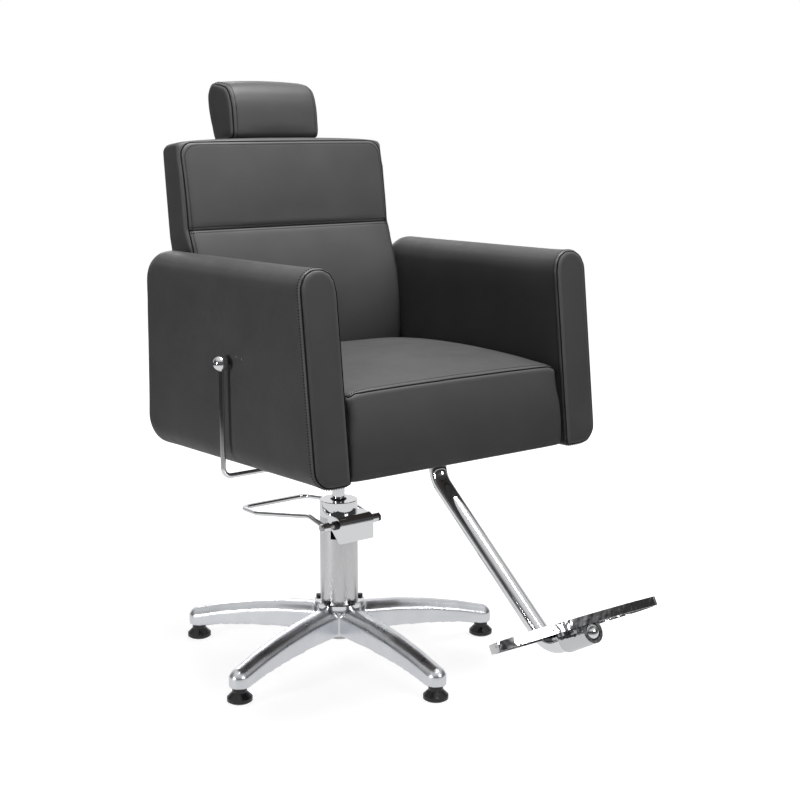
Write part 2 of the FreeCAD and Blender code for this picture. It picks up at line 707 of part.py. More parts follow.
def plunger():
    top = "shaft_z - wire_radius - slot_play"
    y = "shaft_y + cam_reach - plunger_radius / 2"
    rod = bar("z", "plunger_radius", ("0", y, f"{top} - plunger_length"), "plunger_length")
    finish(rod, "pump_plunger")
    low = f"{top} - barrel_drop"
    high = window_low()
    barrel = bar("z", "plunger_radius + barrel_wall", ("0", y, low), f"{high} - ({low})")
    bore = bar("z", "plunger_radius + run_gap", ("0", y, low), f"{high} - ({low})")
    finish(cut(barrel, bore), "plunger_barrel")


# Swivel and mounting plate

def swivel():
    body = turned_body("SwivelSocket", [
        ("rod_radius + run_gap", "socket_low"), ("socket_radius", "socket_low"),
        ("socket_radius", "socket_high"), ("0", "socket_high"),
        ("0", "rod_high + slot_play"), ("rod_radius + run_gap", "rod_high + slot_play"),
    ])
    finish(body, "swivel_socket")
    plate = new_body("MountingPlate")
    top = "seat_floor"
    square = new_sketch(plate, "XY_Plane", f"{top} - plate_thick")
    corner = "plate_corner"
    outline(square, [
        (f"-plate_half + {corner}", "-plate_half"),
        (f"plate_half - {corner}", "-plate_half", corner, -1),
        ("plate_half", f"-plate_half + {corner}"),
        ("plate_half", f"plate_half - {corner}", corner, -1),
        (f"plate_half - {corner}", "plate_half"),
        (f"-plate_half + {corner}", "plate_half", corner, -1),
        ("-plate_half", f"plate_half - {corner}"),
        ("-plate_half", f"-plate_half + {corner}", corner, -1),
    ])
    pad(plate, square, "plate_thick")
    holes = new_sketch(plate, "XY_Plane", top)
    circle(holes, "0", "0", "socket_radius")
    for x in (-1, 1):
        for y in (-1, 1):
            circle(holes, f"{x} * plate_bolt_pitch / 2", f"{y} * plate_bolt_pitch / 2",
                   "arm_bolt_radius + bolt_gap")
    pocket(plate, holes, "2 * plate_thick")
    finish(plate, "mounting_plate")
    bolts = []
    for x in (-1, 1):
        for y in (-1, 1):
            spot = (f"{x} * plate_bolt_pitch / 2", f"{y} * plate_bolt_pitch / 2")
            bolts.append(bolt_up(spot, f"{top} - plate_thick", "plate_thick + board_thick"))
    finish(group(*bolts), "plate_bolts")


def bolt_up(spot, face, depth):
    """A hexagon bolt whose head lies under a face and whose shank goes up."""
    head = doc.addObject("Part::Prism", "Head")
    head.Polygon = 6
    bind(head, "Circumradius", "arm_bolt_radius * bolt_head_share")
    bind(head, "Height", "arm_bolt_radius * bolt_head_high_share")
    bind(head, "Placement.Base.x", spot[0])
    bind(head, "Placement.Base.y", spot[1])
    bind(head, "Placement.Base.z", f"{face} - arm_bolt_radius * bolt_head_high_share")
    shank = bar("z", "arm_bolt_radius", (spot[0], spot[1], face), depth)
    return fuse(head, shank)


# Seat box

def board_top():
    return "(seat_floor + board_thick)"


def rail_top():
    return f"({board_top()} + rail_height)"


def seat_box():
    half = "arm_inner"
    floor = block((f"-{half}", half), ("box_front", "box_rear"), ("seat_floor", board_top()))
    hub_hole = bar("z", "socket_radius + bolt_gap", ("0", "0", "seat_floor - past"),
                   "board_thick + 2 * past")
    finger_slot = block(("spring_x - finger_width", "spring_x + finger_width"),
                        ("lever_y - finger_width", "lever_y + finger_width + past"),
                        ("seat_floor - past", f"{board_top()} + past"))
    bolt_holes = []
    for x in (-1, 1):
        for y in (-1, 1):
            bolt_holes.append(bar("z", "arm_bolt_radius + bolt_gap",
                                  (f"{x} * plate_bolt_pitch / 2", f"{y} * plate_bolt_pitch / 2",
                                   "seat_floor - past"), "board_thick + 2 * past"))
    for x, y in foot_flange_bolts():
        bolt_holes.append(bar("z", "arm_bolt_radius + bolt_gap", (x, y, "seat_floor - past"),
                              "board_thick + 2 * past"))
    finish(cut(floor, hub_hole, finger_slot, *bolt_holes), "seat_base_board")
    outer = block((f"-{half}", half), ("box_front", "box_rear"), (board_top(), rail_top()))
    inner = block((f"-{half} + rail_thick", f"{half} - rail_thick"),
                  ("box_front + rail_thick", "box_rear - rail_thick"),
                  (f"{board_top()} - past", f"{rail_top()} + past"))
    spring_hole = block(("spring_x - spring_radius - past", "spring_x + spring_radius + past"),
                        ("box_rear - rail_thick - past", "box_rear + past"),
                        (f"{board_top()} - past", f"{rail_top()} + past"))
    notches = []
    for way in (-1, 1):
        far = f"{way} * ({half} - rail_thick)"
        near = f"{way} * ({half} - rail_thick - bracket_thick - bolt_gap)"
        low, high = (far, near) if way < 0 else (near, far)
        notches.append(block((low, high), ("box_rear - rail_thick - past", "box_rear + past"),
                             (f"{board_top()} - past", f"{rail_top()} + past")))
    bolts = [bar("x", "arm_bolt_radius + bolt_gap", (f"-{half} - past", y, arm_bolt_z()),
                 f"2 * {half} + 2 * past") for y in arm_bolt_ys()]
    finish(cut(outer, inner, spring_hole, *notches, *bolts), "seat_rails")
    top = block((f"-{half}", half), ("box_front", "box_rear"),
                (rail_top(), f"{rail_top()} + top_board"))
    finish(top, "seat_top_board")


def arm_bolt_ys():
    return ("box_front * front_bolt_share", "box_front * rear_bolt_share")


def arm_bolt_z():
    return f"{board_top()} + rail_height / 2"


def foot_flange_bolts():
    return [(f"{x} * foot_bolt_x", f"foot_y + {y} * foot_bolt_y")
            for x in (-1, 1) for y in (-1, 1)]


# Seat cushion

# Stations across a cushion, the rise of its crown there and how far its edges draw in
HALF_STATION_SHARES = (1.0, 0.975, 0.92, 0.80, 0.50)
HALF_CROWN_SHARES = (0.0, 0.16, 0.36, 0.62, 0.90)
HALF_DRAW_SHARES = (1.0, 0.45, 0.12, 0.0, 0.0)
STATION_SHARES = tuple(-x for x in HALF_STATION_SHARES) + (0.0,) + HALF_STATION_SHARES[::-1]
CROWN_SHARES = HALF_CROWN_SHARES + (1.0,) + HALF_CROWN_SHARES[::-1]
DRAW_SHARES = HALF_DRAW_SHARES + (0.0,) + HALF_DRAW_SHARES[::-1]


def seat_cushion():
    body = new_body("SeatCushion")
    half = "(arm_inner - seat_side_gap)"
    base = f"({rail_top()} + top_board)"
    sections = []
    for share, rise, draw in zip(STATION_SHARES, CROWN_SHARES, DRAW_SHARES):
        sketch = new_sketch(body, "YZ_Plane", f"{half} * {share}")
        top = f"(seat_top - seat_draw * {draw} + seat_crown * {rise} * crown_base_share)"
        front_top = f"(seat_front_top + seat_draw * {draw} * front_draw_share)"
        front_low = f"(seat_front_low + seat_draw * {draw} * apron_draw_share)"
        rear = f"(seat_rear - seat_draw * {draw} * rear_draw_share)"
        chord = f"({rear} - seat_edge - {front_top} - front_edge)"
        high = f"(seat_crown * (crown_base_share + (1 - crown_base_share) * {rise}))"
        face = f"({top} - front_edge - seat_floor - seat_hem)"
        outline(sketch, [
            ("box_front", base), ("box_rear", base), (rear, f"{base} + seat_hem"),
            (rear, f"{top} - seat_edge", "seat_edge", -1),
            (f"{rear} - seat_edge", top, bow(chord, high), -1),
            (f"{front_top} + front_edge", top, "front_edge", -1),
            (front_top, f"{top} - front_edge", bow(face, "(seat_edge * belly_share)"), -1),
            (front_low, "seat_floor + seat_hem"),
            (f"{front_low} + seat_hem", "seat_floor"), ("box_front", "seat_floor"),
        ])
        sections.append(sketch)
    loft(body, sections, ruled=True)
    finish(body, "seat_cushion")


# Arm rests

def arm_outline(sketch):
    low = "(arm_low - arm_sag)"
    high = "(arm_top - arm_slope)"
    outline(sketch, [
        ("arm_front_low", "arm_low"),
        ("arm_rear_low - arm_rear_low_bend", low, "arm_rear_low_bend", -1),
        ("arm_rear_low", f"{low} + arm_rear_low_bend"),
        ("arm_rear_top", f"{high} - arm_rear_top_bend", "arm_rear_top_bend", -1),
        ("arm_rear_top - arm_rear_top_bend", high), ("arm_front_top", "arm_top"),
    ])
    return sketch


def arm_rest(way, name):
    body = new_body("ArmRest")
    profile = arm_outline(new_sketch(body, "YZ_Plane", f"{way} * arm_inner"))
    slab = pad(body, profile, "arm_thick", reverse=way < 0)
    doc.recompute()
    front = val("arm_front_low")
    edges = []
    for number, edge in enumerate(slab.Shape.Edges, start=1):
        box = edge.BoundBox
        flat = box.XLength < val("slot_play")
        on_front = box.YMax < val("arm_front_top + slot_play") and box.YMin < front + val("past")
        if flat and not on_front:
            edges.append(f"Edge{number}")
    soft = body.newObject("PartDesign::Fillet", "SoftEdges")
    soft.Base = (slab, edges)
    bind(soft, "Radius", "arm_round")
    body.Tip = soft
    # The lower inner corner stays square where the arm meets the seat
    lift = "(arm_low + arm_round)"
    lean = "(arm_front_top - arm_front_low) / (arm_top - arm_low)"
    corner = new_sketch(body, "YZ_Plane", f"{way} * arm_inner")
    outline(corner, [
        ("arm_front_low", "arm_low"),
        ("arm_rear_low - arm_rear_low_bend", "arm_low - arm_sag"),
        ("arm_rear_low - arm_rear_low_bend", lift),
        (f"arm_front_low + arm_round * {lean}", lift),
    ])
    pad(body, corner, "arm_round", reverse=way < 0)
    core_x = (f"{way} * arm_inner + {way} * (arm_thick - arm_core) / 2 - {int(way < 0)} * arm_core",
              f"{way} * arm_inner + {way} * (arm_thick - arm_core) / 2 + {int(way > 0)} * arm_core")
    core_y = ("arm_front_low + arm_core_inset", "arm_rear_low - arm_core_inset")
    core_z = ("arm_low + arm_round / 2", "arm_top - arm_core_inset")
    bolts = [bar("x", "arm_bolt_radius + bolt_gap", bolt_start(way, y), bolt_reach())
             for y in arm_bolt_ys()]
    finish(cut(body, block(core_x, core_y, core_z), *bolts), f"{name}_arm_rest")
    holes = [bar("x", "arm_bolt_radius", bolt_start(way, y), bolt_reach())
             for y in arm_bolt_ys()]
    return cut(block(core_x, core_y, core_z), *holes)


def bolt_reach():
    return "(rail_thick + (arm_thick + arm_core) / 2)"


def bolt_start(way, y):
    """The low x end of an arm bolt, whose head is inside the side rail."""
    inside = "(arm_inner - rail_thick)"
    start = inside if way > 0 else f"-{inside} - {bolt_reach()}"
    return (start, y, arm_bolt_z())


def arm_bolts():
    bolts = []
    for way in (-1, 1):
        for y in arm_bolt_ys():
            shank = bar("x", "arm_bolt_radius", bolt_start(way, y), bolt_reach())
            head_low = "arm_inner - rail_thick - arm_bolt_radius * bolt_head_high_share"
            head_x = head_low if way > 0 else "-arm_inner + rail_thick"
            head = bar("x", "arm_bolt_radius * bolt_head_share", (head_x, y, arm_bolt_z()),
                       "arm_bolt_radius * bolt_head_high_share")
            bolts.append(fuse(shank, head))
    finish(group(*bolts), "arm_bolts")


# Recline hinge

def hinge_x(depth):
    """Distance from the middle plane, counted inwards from the side rail."""
    return f"(arm_inner - rail_thick - ({depth}))"


def back_place():
    """The leaning frame of the back: its origin is on the hinge axis."""
    return Placement(Vector(0, val("hinge_y"), val("hinge_z")),
                     Rotation(Vector(1, 0, 0), -val("back_lean")))


def hinge_brackets():
    plates = []
    for way in (-1, 1):
        body = new_body("HingeBracket")
        inner = f"{way} * {hinge_x('bracket_thick')}"
        sketch = new_sketch(body, "YZ_Plane", inner)
        slant = "boss_radius * cos(45)"
        near = "box_rear * bracket_near_share"
        low = f"({board_top()} + bracket_foot_gap)"
        high = f"({rail_top()} - bracket_top_gap)"
        outline(sketch, [
            (near, low), ("box_rear + boss_radius", low),
            (f"hinge_y + {slant}", f"hinge_z - {slant}", "boss_radius * half_turn_share", -1),
            (f"hinge_y - {slant}", f"hinge_z + {slant}"),
            ("box_rear + bracket_neck", high), (near, high),
        ])
        pad(body, sketch, "bracket_thick", reverse=way < 0)
        pin = circle(new_sketch(body, "YZ_Plane"), "hinge_y", "hinge_z", "pin_radius")
        pocket(body, pin, "4 * arm_inner", middle=True)
        plates.append(body)
    finish(group(*plates), "hinge_brackets")


def hinge_pins():
    """Shoulder pins through bracket and plate, and the washers between them."""
    pins = []
    washers = []
    for way in (-1, 1):
        inner = hinge_x("2 * bracket_thick + washer_thick + pin_end + pin_radius")
        head = hinge_x("0")
        start = inner if way > 0 else f"-{head}"
        shank = bar("x", "pin_radius", (start, "hinge_y", "hinge_z"), f"{head} - {inner}")
        cap_x = head if way > 0 else f"-{head} - pin_radius"
        cap = bar("x", "pin_radius * pin_head_share", (cap_x, "hinge_y", "hinge_z"),
                  "pin_radius")
        pins.append(fuse(shank, cap))
        near = hinge_x("bracket_thick + washer_thick")
        washer_x = near if way > 0 else f"-{near} - washer_thick"
        ring = bar("x", "boss_radius * washer_share", (washer_x, "hinge_y", "hinge_z"),
                   "washer_thick")
        hole = bar("x", "pin_radius", (washer_x, "hinge_y", "hinge_z"), "washer_thick")
        washers.append(cut(ring, hole))
    finish(group(*pins), "hinge_pins")
    finish(group(*washers), "hinge_washers")


def plate_face():
    """Outer face of the moving hinge plate, inside the washer's running gap."""
    return hinge_x("bracket_thick + washer_thick + bolt_gap")


def upright_face():
    return f"({plate_face()} - bracket_thick)"


def hinge_plates():
    plates = []
    for way in (-1, 1):
        body = new_body("HingePlate")
        sketch = new_sketch(body, "YZ_Plane", f"{way} * {upright_face()}")
        boss = "(boss_radius * plate_share)"
        near, far = frame_n()
        outline(sketch, [
            (f"-{boss}", "0", f"{boss} * half_turn_share", -1), (boss, "0"), (far, boss),
            (far, "frame_low + plate_rise"), (near, "frame_low + plate_rise"),
            (near, "plate_neck"), (f"-{boss}", "plate_heel"),
        ])
        pad(body, sketch, "bracket_thick", reverse=way < 0)
        hole = circle(new_sketch(body, "YZ_Plane"), "0", "0", "pin_radius + run_gap")
        pocket(body, hole, "4 * arm_inner", middle=True)
        plates.append(body)
    both = group(*plates)
    both.Placement = back_place()
    finish(both, "hinge_plates")


def hinge_tube():
    start = (f"-{upright_face()}", "0", "0")
    tube = bar("x", "tube_radius", start, f"2 * {upright_face()}")
    bore = bar("x", "tube_radius - tube_wall", start, f"2 * {upright_face()}")
    result = cut(tube, bore)
    result.Placement = back_place()
    finish(result, "hinge_tube")


# Back frame, cushion and rear panel

def frame_n():
    """Front and rear faces of the back's square tubes."""
    far = "(back_rear - panel_thick - panel_play)"
    return (f"({far} - upright)", far)


def square_tube(x, y, z, run):
    """A square tube with open ends along one of its three directions."""
    wall = "upright_wall"
    outer = block(x, y, z)
    inner = []
    for axis, (low, high) in zip("xyz", (x, y, z)):
        if axis == run:
            inner.append((f"({low}) - past", f"({high}) + past"))
        else:
            inner.append((f"({low}) + {wall}", f"({high}) - {wall}"))
    return cut(outer, block(*inner))


def back_frame():
    sides = []
    for way in (-1, 1):
        far = f"{way} * {upright_face()}"
        near = f"{way} * ({upright_face()} - upright)"
        x = (far, near) if way < 0 else (near, far)
        sides.append(square_tube(x, frame_n(), ("frame_low", "frame_high"), "z"))
    inside = f"({upright_face()} - upright)"
    bars = []
    for low in ("frame_high - upright", "(frame_low + frame_high) / 2", "frame_low + upright"):
        bars.append(square_tube((f"-{inside}", inside), frame_n(), (low, f"{low} + upright"), "x"))
    whole = fuse(*sides, *bars)
    room = block((f"-{guide_half()}", guide_half()), guide_n(), ("guide_low", "frame_high + past"))
    frame = cut(whole, room)
    frame.Placement = back_place()
    finish(frame, "back_frame")


def guide_half():
    return "(post_width / 2 + guide_wall)"


def guide_n():
    return ("(post_n - post_thick / 2 - guide_wall)", "(post_n + post_thick / 2 + guide_wall)")


def back_cushion():
    body = new_body("BackCushion")
    sections = []
    for share, rise, draw in zip(STATION_SHARES, CROWN_SHARES, DRAW_SHARES):
        sketch = new_sketch(body, "YZ_Plane", f"back_half * {share}")
        push = f"(back_crown * {rise} - back_draw * {draw})"
        top = f"(back_top - back_draw * {draw} * top_draw_share)"
        low = f"(back_low + back_draw * {draw} * low_draw_share)"
        notch = f"(back_crown * (notch_share + notch_rise_share * {rise}))"
        upper_n = f"(front_top_n - {push} * upper_push_share)"
        seam_n = f"(front_seam_n - {push} * seam_push_share)"
        low_n = f"(front_low_n - {push} * low_push_share)"
        upper_run = f"({top} - front_edge - back_seam - {notch})"
        lower_run = f"(back_seam - {notch} - {low} - seat_edge)"
        outline(sketch, [
            ("back_rear", low), ("back_rear", f"{top} - seat_edge", "seat_edge", -1),
            ("back_rear - seat_edge", top),
            (f"{upper_n} + front_edge", top, "front_edge", -1),
            (upper_n, f"{top} - front_edge", bow(upper_run, "upper_bulge"), -1),
            (f"{seam_n} + {notch} * notch_lip_share", f"back_seam + {notch}"),
            (f"{seam_n} + {notch}", "back_seam"),
            (seam_n, f"back_seam - {notch}", bow(lower_run, "lumbar_bulge"), -1),
            (low_n, f"{low} + seat_edge", "seat_edge", -1), (f"{low_n} + seat_edge", low),
        ])
        sections.append(sketch)
    loft(body, sections, ruled=True)
    near = frame_n()[0]
    recess = block((f"-{hinge_x('0')} - bolt_gap", f"{hinge_x('0')} + bolt_gap"),
                   (near, "back_rear + past"), ("back_low - past", "frame_high"))
    slot = block(("-post_width / 2 - slot_gap", "post_width / 2 + slot_gap"),
                 ("post_n - post_thick / 2 - slot_gap", "post_n + post_thick / 2 + slot_gap"),
                 ("frame_high - past", "back_top + past"))
    cushion = cut(body, recess, slot, refine=False)
    cushion.Placement = back_place()
    finish(cushion, "back_cushion")


def back_panel():
    body = new_body("RearPanel")
    half = hinge_x("0")
    sketch = new_sketch(body, "XY_Plane", "panel_low")
    rise = "(panel_thick * panel_bow_share)"
    width = f"(2 * {half} - panel_thick)"
    outline(sketch, [
        (f"-{half}", "back_rear - panel_thick"), (half, "back_rear - panel_thick"),
        (half, f"back_rear - {rise}", "panel_thick / 2", -1),
        (f"{half} - panel_thick / 2", "back_rear", bow(width, rise), -1),
        (f"-{half} + panel_thick / 2", "back_rear", "panel_thick / 2", -1),
        (f"-{half}", f"back_rear - {rise}"),
    ])
    pad(body, sketch, "frame_high - slot_play - panel_low")
    body.Placement = back_place()
    finish(body, "back_rear_panel")


# Headrest

def headrest():
    body = new_body("HeadrestPad")
    sections = []
    for share, draw in zip(STATION_SHARES, DRAW_SHARES):
        sketch = new_sketch(body, "YZ_Plane", f"head_half * {share}")
        inset = f"(head_draw * {draw})"
        span = "(head_rear - head_front)"
        rise = "(head_top - head_low)"
        front = f"(head_front + {inset})"
        rear = f"(head_rear - {inset})"
        top = f"(head_top - {inset})"
        foot = f"({span} * front_foot_share)"
        outline(sketch, [
            (f"{front} + {foot}", "head_low"),
            (f"{rear} - {span} * rear_foot_share", "head_low"),
            (f"{rear} - {span} * rear_bulge_share", f"head_low + {rise} * rear_bulge_high_share"),
            (rear, f"head_low + {rise} * rear_turn_high_share", f"{rise} * rear_round_share", -1),
            (f"{rear} - {span} * rear_turn_share", top, f"{span} * top_round_share", -1),
            (f"{front} + {span} * top_turn_share", f"{top} - {rise} * top_fall_share",
             f"{span} * face_round_share", -1),
            (front, f"head_low + {rise} * face_high_share"),
            (front, f"head_low + {foot}", foot, -1),
        ])
        sections.append(sketch)
    loft(body, sections, ruled=True)
    slot = block(("-post_width / 2", "post_width / 2"), post_n(),
                 ("head_low - past", post_top()))
    cushion = cut(body, head_core_block(), slot)
    cushion.Placement = back_place()
    finish(cushion, "headrest_pad")
    board = group(head_core_block())
    board.Placement = back_place()
    finish(board, "headrest_board")
    post = group(block(("-post_width / 2", "post_width / 2"), post_n(), ("post_low", post_top())))
    post.Placement = back_place()
    finish(post, "headrest_post")


def post_n():
    return ("post_n - post_thick / 2", "post_n + post_thick / 2")


def post_top():
    return "head_low + rest_height * post_high_share"


def head_core_half():
    return "head_half * core_half_share"


def head_core_n():
    return "post_n + post_thick / 2"


def head_core_low():
    return "head_low + rest_height * core_low_share"


def head_core_block():
    return block((f"-{head_core_half()}", head_core_half()),
                 (head_core_n(), f"{head_core_n()} + head_core"),
                 (head_core_low(), "head_low + rest_height * core_high_share"))


def headrest_guide():
    outer = block((f"-{guide_half()}", guide_half()), guide_n(), ("guide_low", "frame_high"))
    slot = block(("-post_width / 2 - slide_gap", "post_width / 2 + slide_gap"),
                 ("post_n - post_thick / 2 - slide_gap", "post_n + post_thick / 2 + slide_gap"),
                 ("guide_low - past", "frame_high + past"))
    guide = cut(outer, slot)
    guide.Placement = back_place()
    finish(guide, "headrest_guide")


# Gas spring between the seat box and the back

def lug_y(swing):
    return f"(hinge_y + lug_arm * sin({swing}))"


def lug_z(swing):
    return f"(hinge_z - lug_arm * cos({swing}))"


def spring_z():
    """The spring lies at the mean height of the lug pin over its swing."""
    return f"((2 * hinge_z - lug_arm * (1 + cos(lug_swing))) / 2)"


def gas_spring():
    z = spring_z()
    outer = bar("y", "spring_radius", ("spring_x", "spring_front", z), "spring_rear - spring_front")
    bore = bar("y", "spring_radius - spring_wall",
               ("spring_x", "spring_front + spring_radius", z),
               "spring_rear - spring_front - spring_radius - spring_end")
    neck = bar("y", "spring_neck", ("spring_x", "spring_front - spring_radius - spring_wall", z),
               "spring_radius + spring_wall")
    gland = bar("y", "spring_rod + run_gap", ("spring_x", "spring_rear - spring_radius", z),
                "2 * spring_radius")
    pin_hole = bar("y", "release_pin + run_gap",
                   ("spring_x", "spring_front - 2 * spring_radius", z), "4 * spring_radius")
    finish(cut(fuse(outer, neck), bore, gland, pin_hole), "gas_spring_cylinder")
    stroke = "(2 * lug_arm * sin(lug_swing))"
    inner_end = f"(spring_front + spring_radius + rod_rest + {stroke})"
    block_y = lug_y("lug_swing")
    rod = bar("y", "spring_rod", ("spring_x", inner_end, z),
              f"{block_y} - eye_block / 2 - {inner_end}")
    disc = bar("y", "spring_radius - spring_wall - run_gap", ("spring_x", inner_end, z),
               "spring_rod")
    finish(fuse(rod, disc), "gas_spring_rod")
    eye = block(("spring_x - eye_thick / 2", "spring_x + eye_thick / 2"),
                (f"{block_y} - eye_block / 2", f"{block_y} + eye_block / 2"),
                (f"{z} - eye_half_high", f"{z} + eye_half_high"))
    drift = "(lug_arm * (1 - cos(lug_swing)) / 2)"
    slot_parts = [block(("spring_x - eye_thick", "spring_x + eye_thick"),
                        (f"{block_y} - lug_pin - slot_play", f"{block_y} + lug_pin + slot_play"),
                        (f"{z} - {drift} - slot_play", f"{z} + {drift} + slot_play"))]
    for side in (-1, 1):
        slot_parts.append(bar("x", "lug_pin + slot_play",
                              ("spring_x - eye_thick", block_y,
                               f"{z} + {side} * ({drift} + slot_play)"), "2 * eye_thick"))
    finish(cut(eye, fuse(*slot_parts)), "spring_end_eye")
    mount = block(("spring_x - mount_half", "spring_x + mount_half"),
                  ("spring_front - spring_radius", "spring_front"),
                  (board_top(), f"{rail_top()} - bracket_top_gap"))
    hole = bar("y", "spring_neck", ("spring_x", "spring_front - spring_radius", z), "spring_radius")
    finish(cut(mount, hole), "spring_mount")
    nut_y = "spring_front - spring_radius - spring_wall"
    stick = bar("y", "release_pin", ("spring_x", f"{nut_y} - release_stick", z),
                "release_stick + stick_sunk")
    finish(stick, "release_pin")


def spring_lug():
    """Two plates on the hinge tube that carry the pin of the gas spring."""
    plates = []
    half = "lug_half"
    eye_round = f"{half} * half_turn_share"
    boss = "(tube_radius + lug_thick)"
    for side in (-1, 1):
        body = new_body("LugPlate")
        inner = f"spring_x + {side} * (eye_thick / 2 + slot_play)"
        sketch = new_sketch(body, "YZ_Plane", inner)
        outline(sketch, [
            (half, "0"), (half, "-lug_arm", eye_round, 1), (f"-{half}", "-lug_arm"),
            (f"-{half}", "0"), (f"-{boss}", "0", f"{boss} * half_turn_share", 1), (boss, "0"),
        ])
        pad(body, sketch, "lug_thick", reverse=side < 0)
        tube = circle(new_sketch(body, "YZ_Plane", "spring_x"), "0", "0", "tube_radius")
        pocket(body, tube, "2 * eye_block", middle=True)
        eye = circle(new_sketch(body, "YZ_Plane", "spring_x"), "0", "-lug_arm", "lug_pin")
        pocket(body, eye, "2 * eye_block", middle=True)
        plates.append(body)
    both = group(*plates)
    both.Placement = place("0", "hinge_y", "hinge_z", (1, 0, 0), "lug_swing")
    finish(both, "spring_lugs")
    reach = "(eye_thick / 2 + slot_play + lug_thick + pin_stub)"
    pin = bar("x", "lug_pin", (f"spring_x - {reach}", lug_y("lug_swing"), lug_z("lug_swing")),
              f"2 * {reach}")
    finish(pin, "lug_pin")


# Recline lever

def recline_lever():
    body = new_body("LeverRod")
    path = new_sketch(body, "XZ_Plane")
    outline(path, [
        ("lever_end", "lever_z"), ("lever_x + lever_bend", "lever_z", "lever_bend", 1),
        ("lever_x", "lever_z + lever_bend"), ("lever_x", "knob_z"),
    ], closed=False)
    section = new_sketch(body, "YZ_Plane", "lever_end")
    circle(section, "0", "lever_z", "lever_radius")
    sweep = body.newObject("PartDesign::AdditivePipe", "Sweep")
    sweep.Profile = section
    sweep.Spine = path
    body.Placement = place("0", "lever_y", "0")
    finish(body, "lever_rod")
    ball = doc.addObject("Part::Sphere", "Ball")
    bind(ball, "Radius", "knob_radius")
    for letter, text in zip("xyz", ("lever_x", "lever_y", "knob_z")):
        bind(ball, f"Placement.Base.{letter}", text)
    socket = bar("z", "lever_radius", ("lever_x", "lever_y", "knob_z - 2 * knob_radius"),
                 "2 * knob_radius")
    finish(cut(ball, socket), "lever_knob")
    boss = bar("x", "2 * lever_radius", ("spring_x - finger_width / 2", "lever_y", "lever_z"),
               "finger_width")
    blade = block(("spring_x - finger_width / 2", "spring_x + finger_width / 2"),
                  ("lever_y - finger_half", "lever_y + finger_half"),
                  ("lever_z", f"{spring_z()} + finger_over"))
    hole = bar("x", "lever_radius", ("spring_x - finger_width", "lever_y", "lever_z"),
               "2 * finger_width")
    finish(cut(fuse(boss, blade), hole), "release_finger")
    hangers = []
    for x in ("-arm_inner + rail_thick / 2", "lever_end - finger_width - slot_play"):
        drop = block((x, f"{x} + finger_width"),
                     ("lever_y - hanger_half", "lever_y + hanger_half"),
                     ("lever_z - hanger_foot", "seat_floor"))
        bore = bar("x", "lever_radius + run_gap", (f"{x} - past", "lever_y", "lever_z"),
                   "finger_width + 2 * past")
        hangers.append(cut(drop, bore))
    finish(group(*hangers), "lever_hangers")


# Footrest

def foot_points():
    """Corners of the tube's path in the middle plane, from the seat to its end."""
    start = (val("foot_y"), val("seat_floor - plate_thick"))
    corner = (val("foot_y"), val("foot_corner_z"))
    low = (val("foot_y - foot_run * cos(foot_slope)"),
           val("foot_corner_z - foot_run * sin(foot_slope)"))
    end = (val("foot_y - foot_run * cos(foot_slope) - foot_end * cos(foot_tilt)"),
           val("foot_corner_z - foot_run * sin(foot_slope) + foot_end * sin(foot_tilt)"))
    return [start, corner, low, end]


def footrest_place():
    """The tilted frame of the tread, with its origin at the end of the tube."""
    end = foot_points()[-1]
    return Placement(Vector(0, *end), Rotation(Vector(1, 0, 0), -val("foot_tilt")))


def footrest_tube():
    """A bent tube, open where the domed cap plugs its lower end."""
    points = [Vector(0, *point) for point in foot_points()]
    path = fillet_path(points, val("foot_elbow"))
    ring = Part.Circle(points[0], Vector(0, 0, 1), val("foot_tube")).toShape()
    solid = doc.addObject("Part::Feature", "FootTube")
    solid.Shape = path.makePipeShell([Part.Wire([ring])], True, False)
    bore = bar("y", "foot_tube - foot_wall", ("0", "-past", "0"), "foot_bore + past")
    mouth = group(bore)
    mouth.Placement = footrest_place()
    finish(cut(solid, mouth), "footrest_tube")
    finish(foot_flange(), "footrest_flange")
    bolts = [bolt_up(spot, "seat_floor - plate_thick", "plate_thick + board_thick")
             for spot in foot_flange_bolts()]
    finish(group(*bolts), "footrest_bolts")


def tread_outline(sketch, inset="0"):
    """Long tread with round ends and two shallow bowed sides."""
    end = f"(tread_end - {inset})"
    x = "(tread_half - tread_end)"
    radius = bow(f"(2 * {x})", "(tread_middle - tread_end)")
    return outline(sketch, [
        (x, f"tread_y - {end}", f"{end} * half_turn_share", -1),
        (x, f"tread_y + {end}", radius, -1),
        (f"-{x}", f"tread_y + {end}", f"{end} * half_turn_share", -1),
        (f"-{x}", f"tread_y - {end}", radius, -1),
    ])


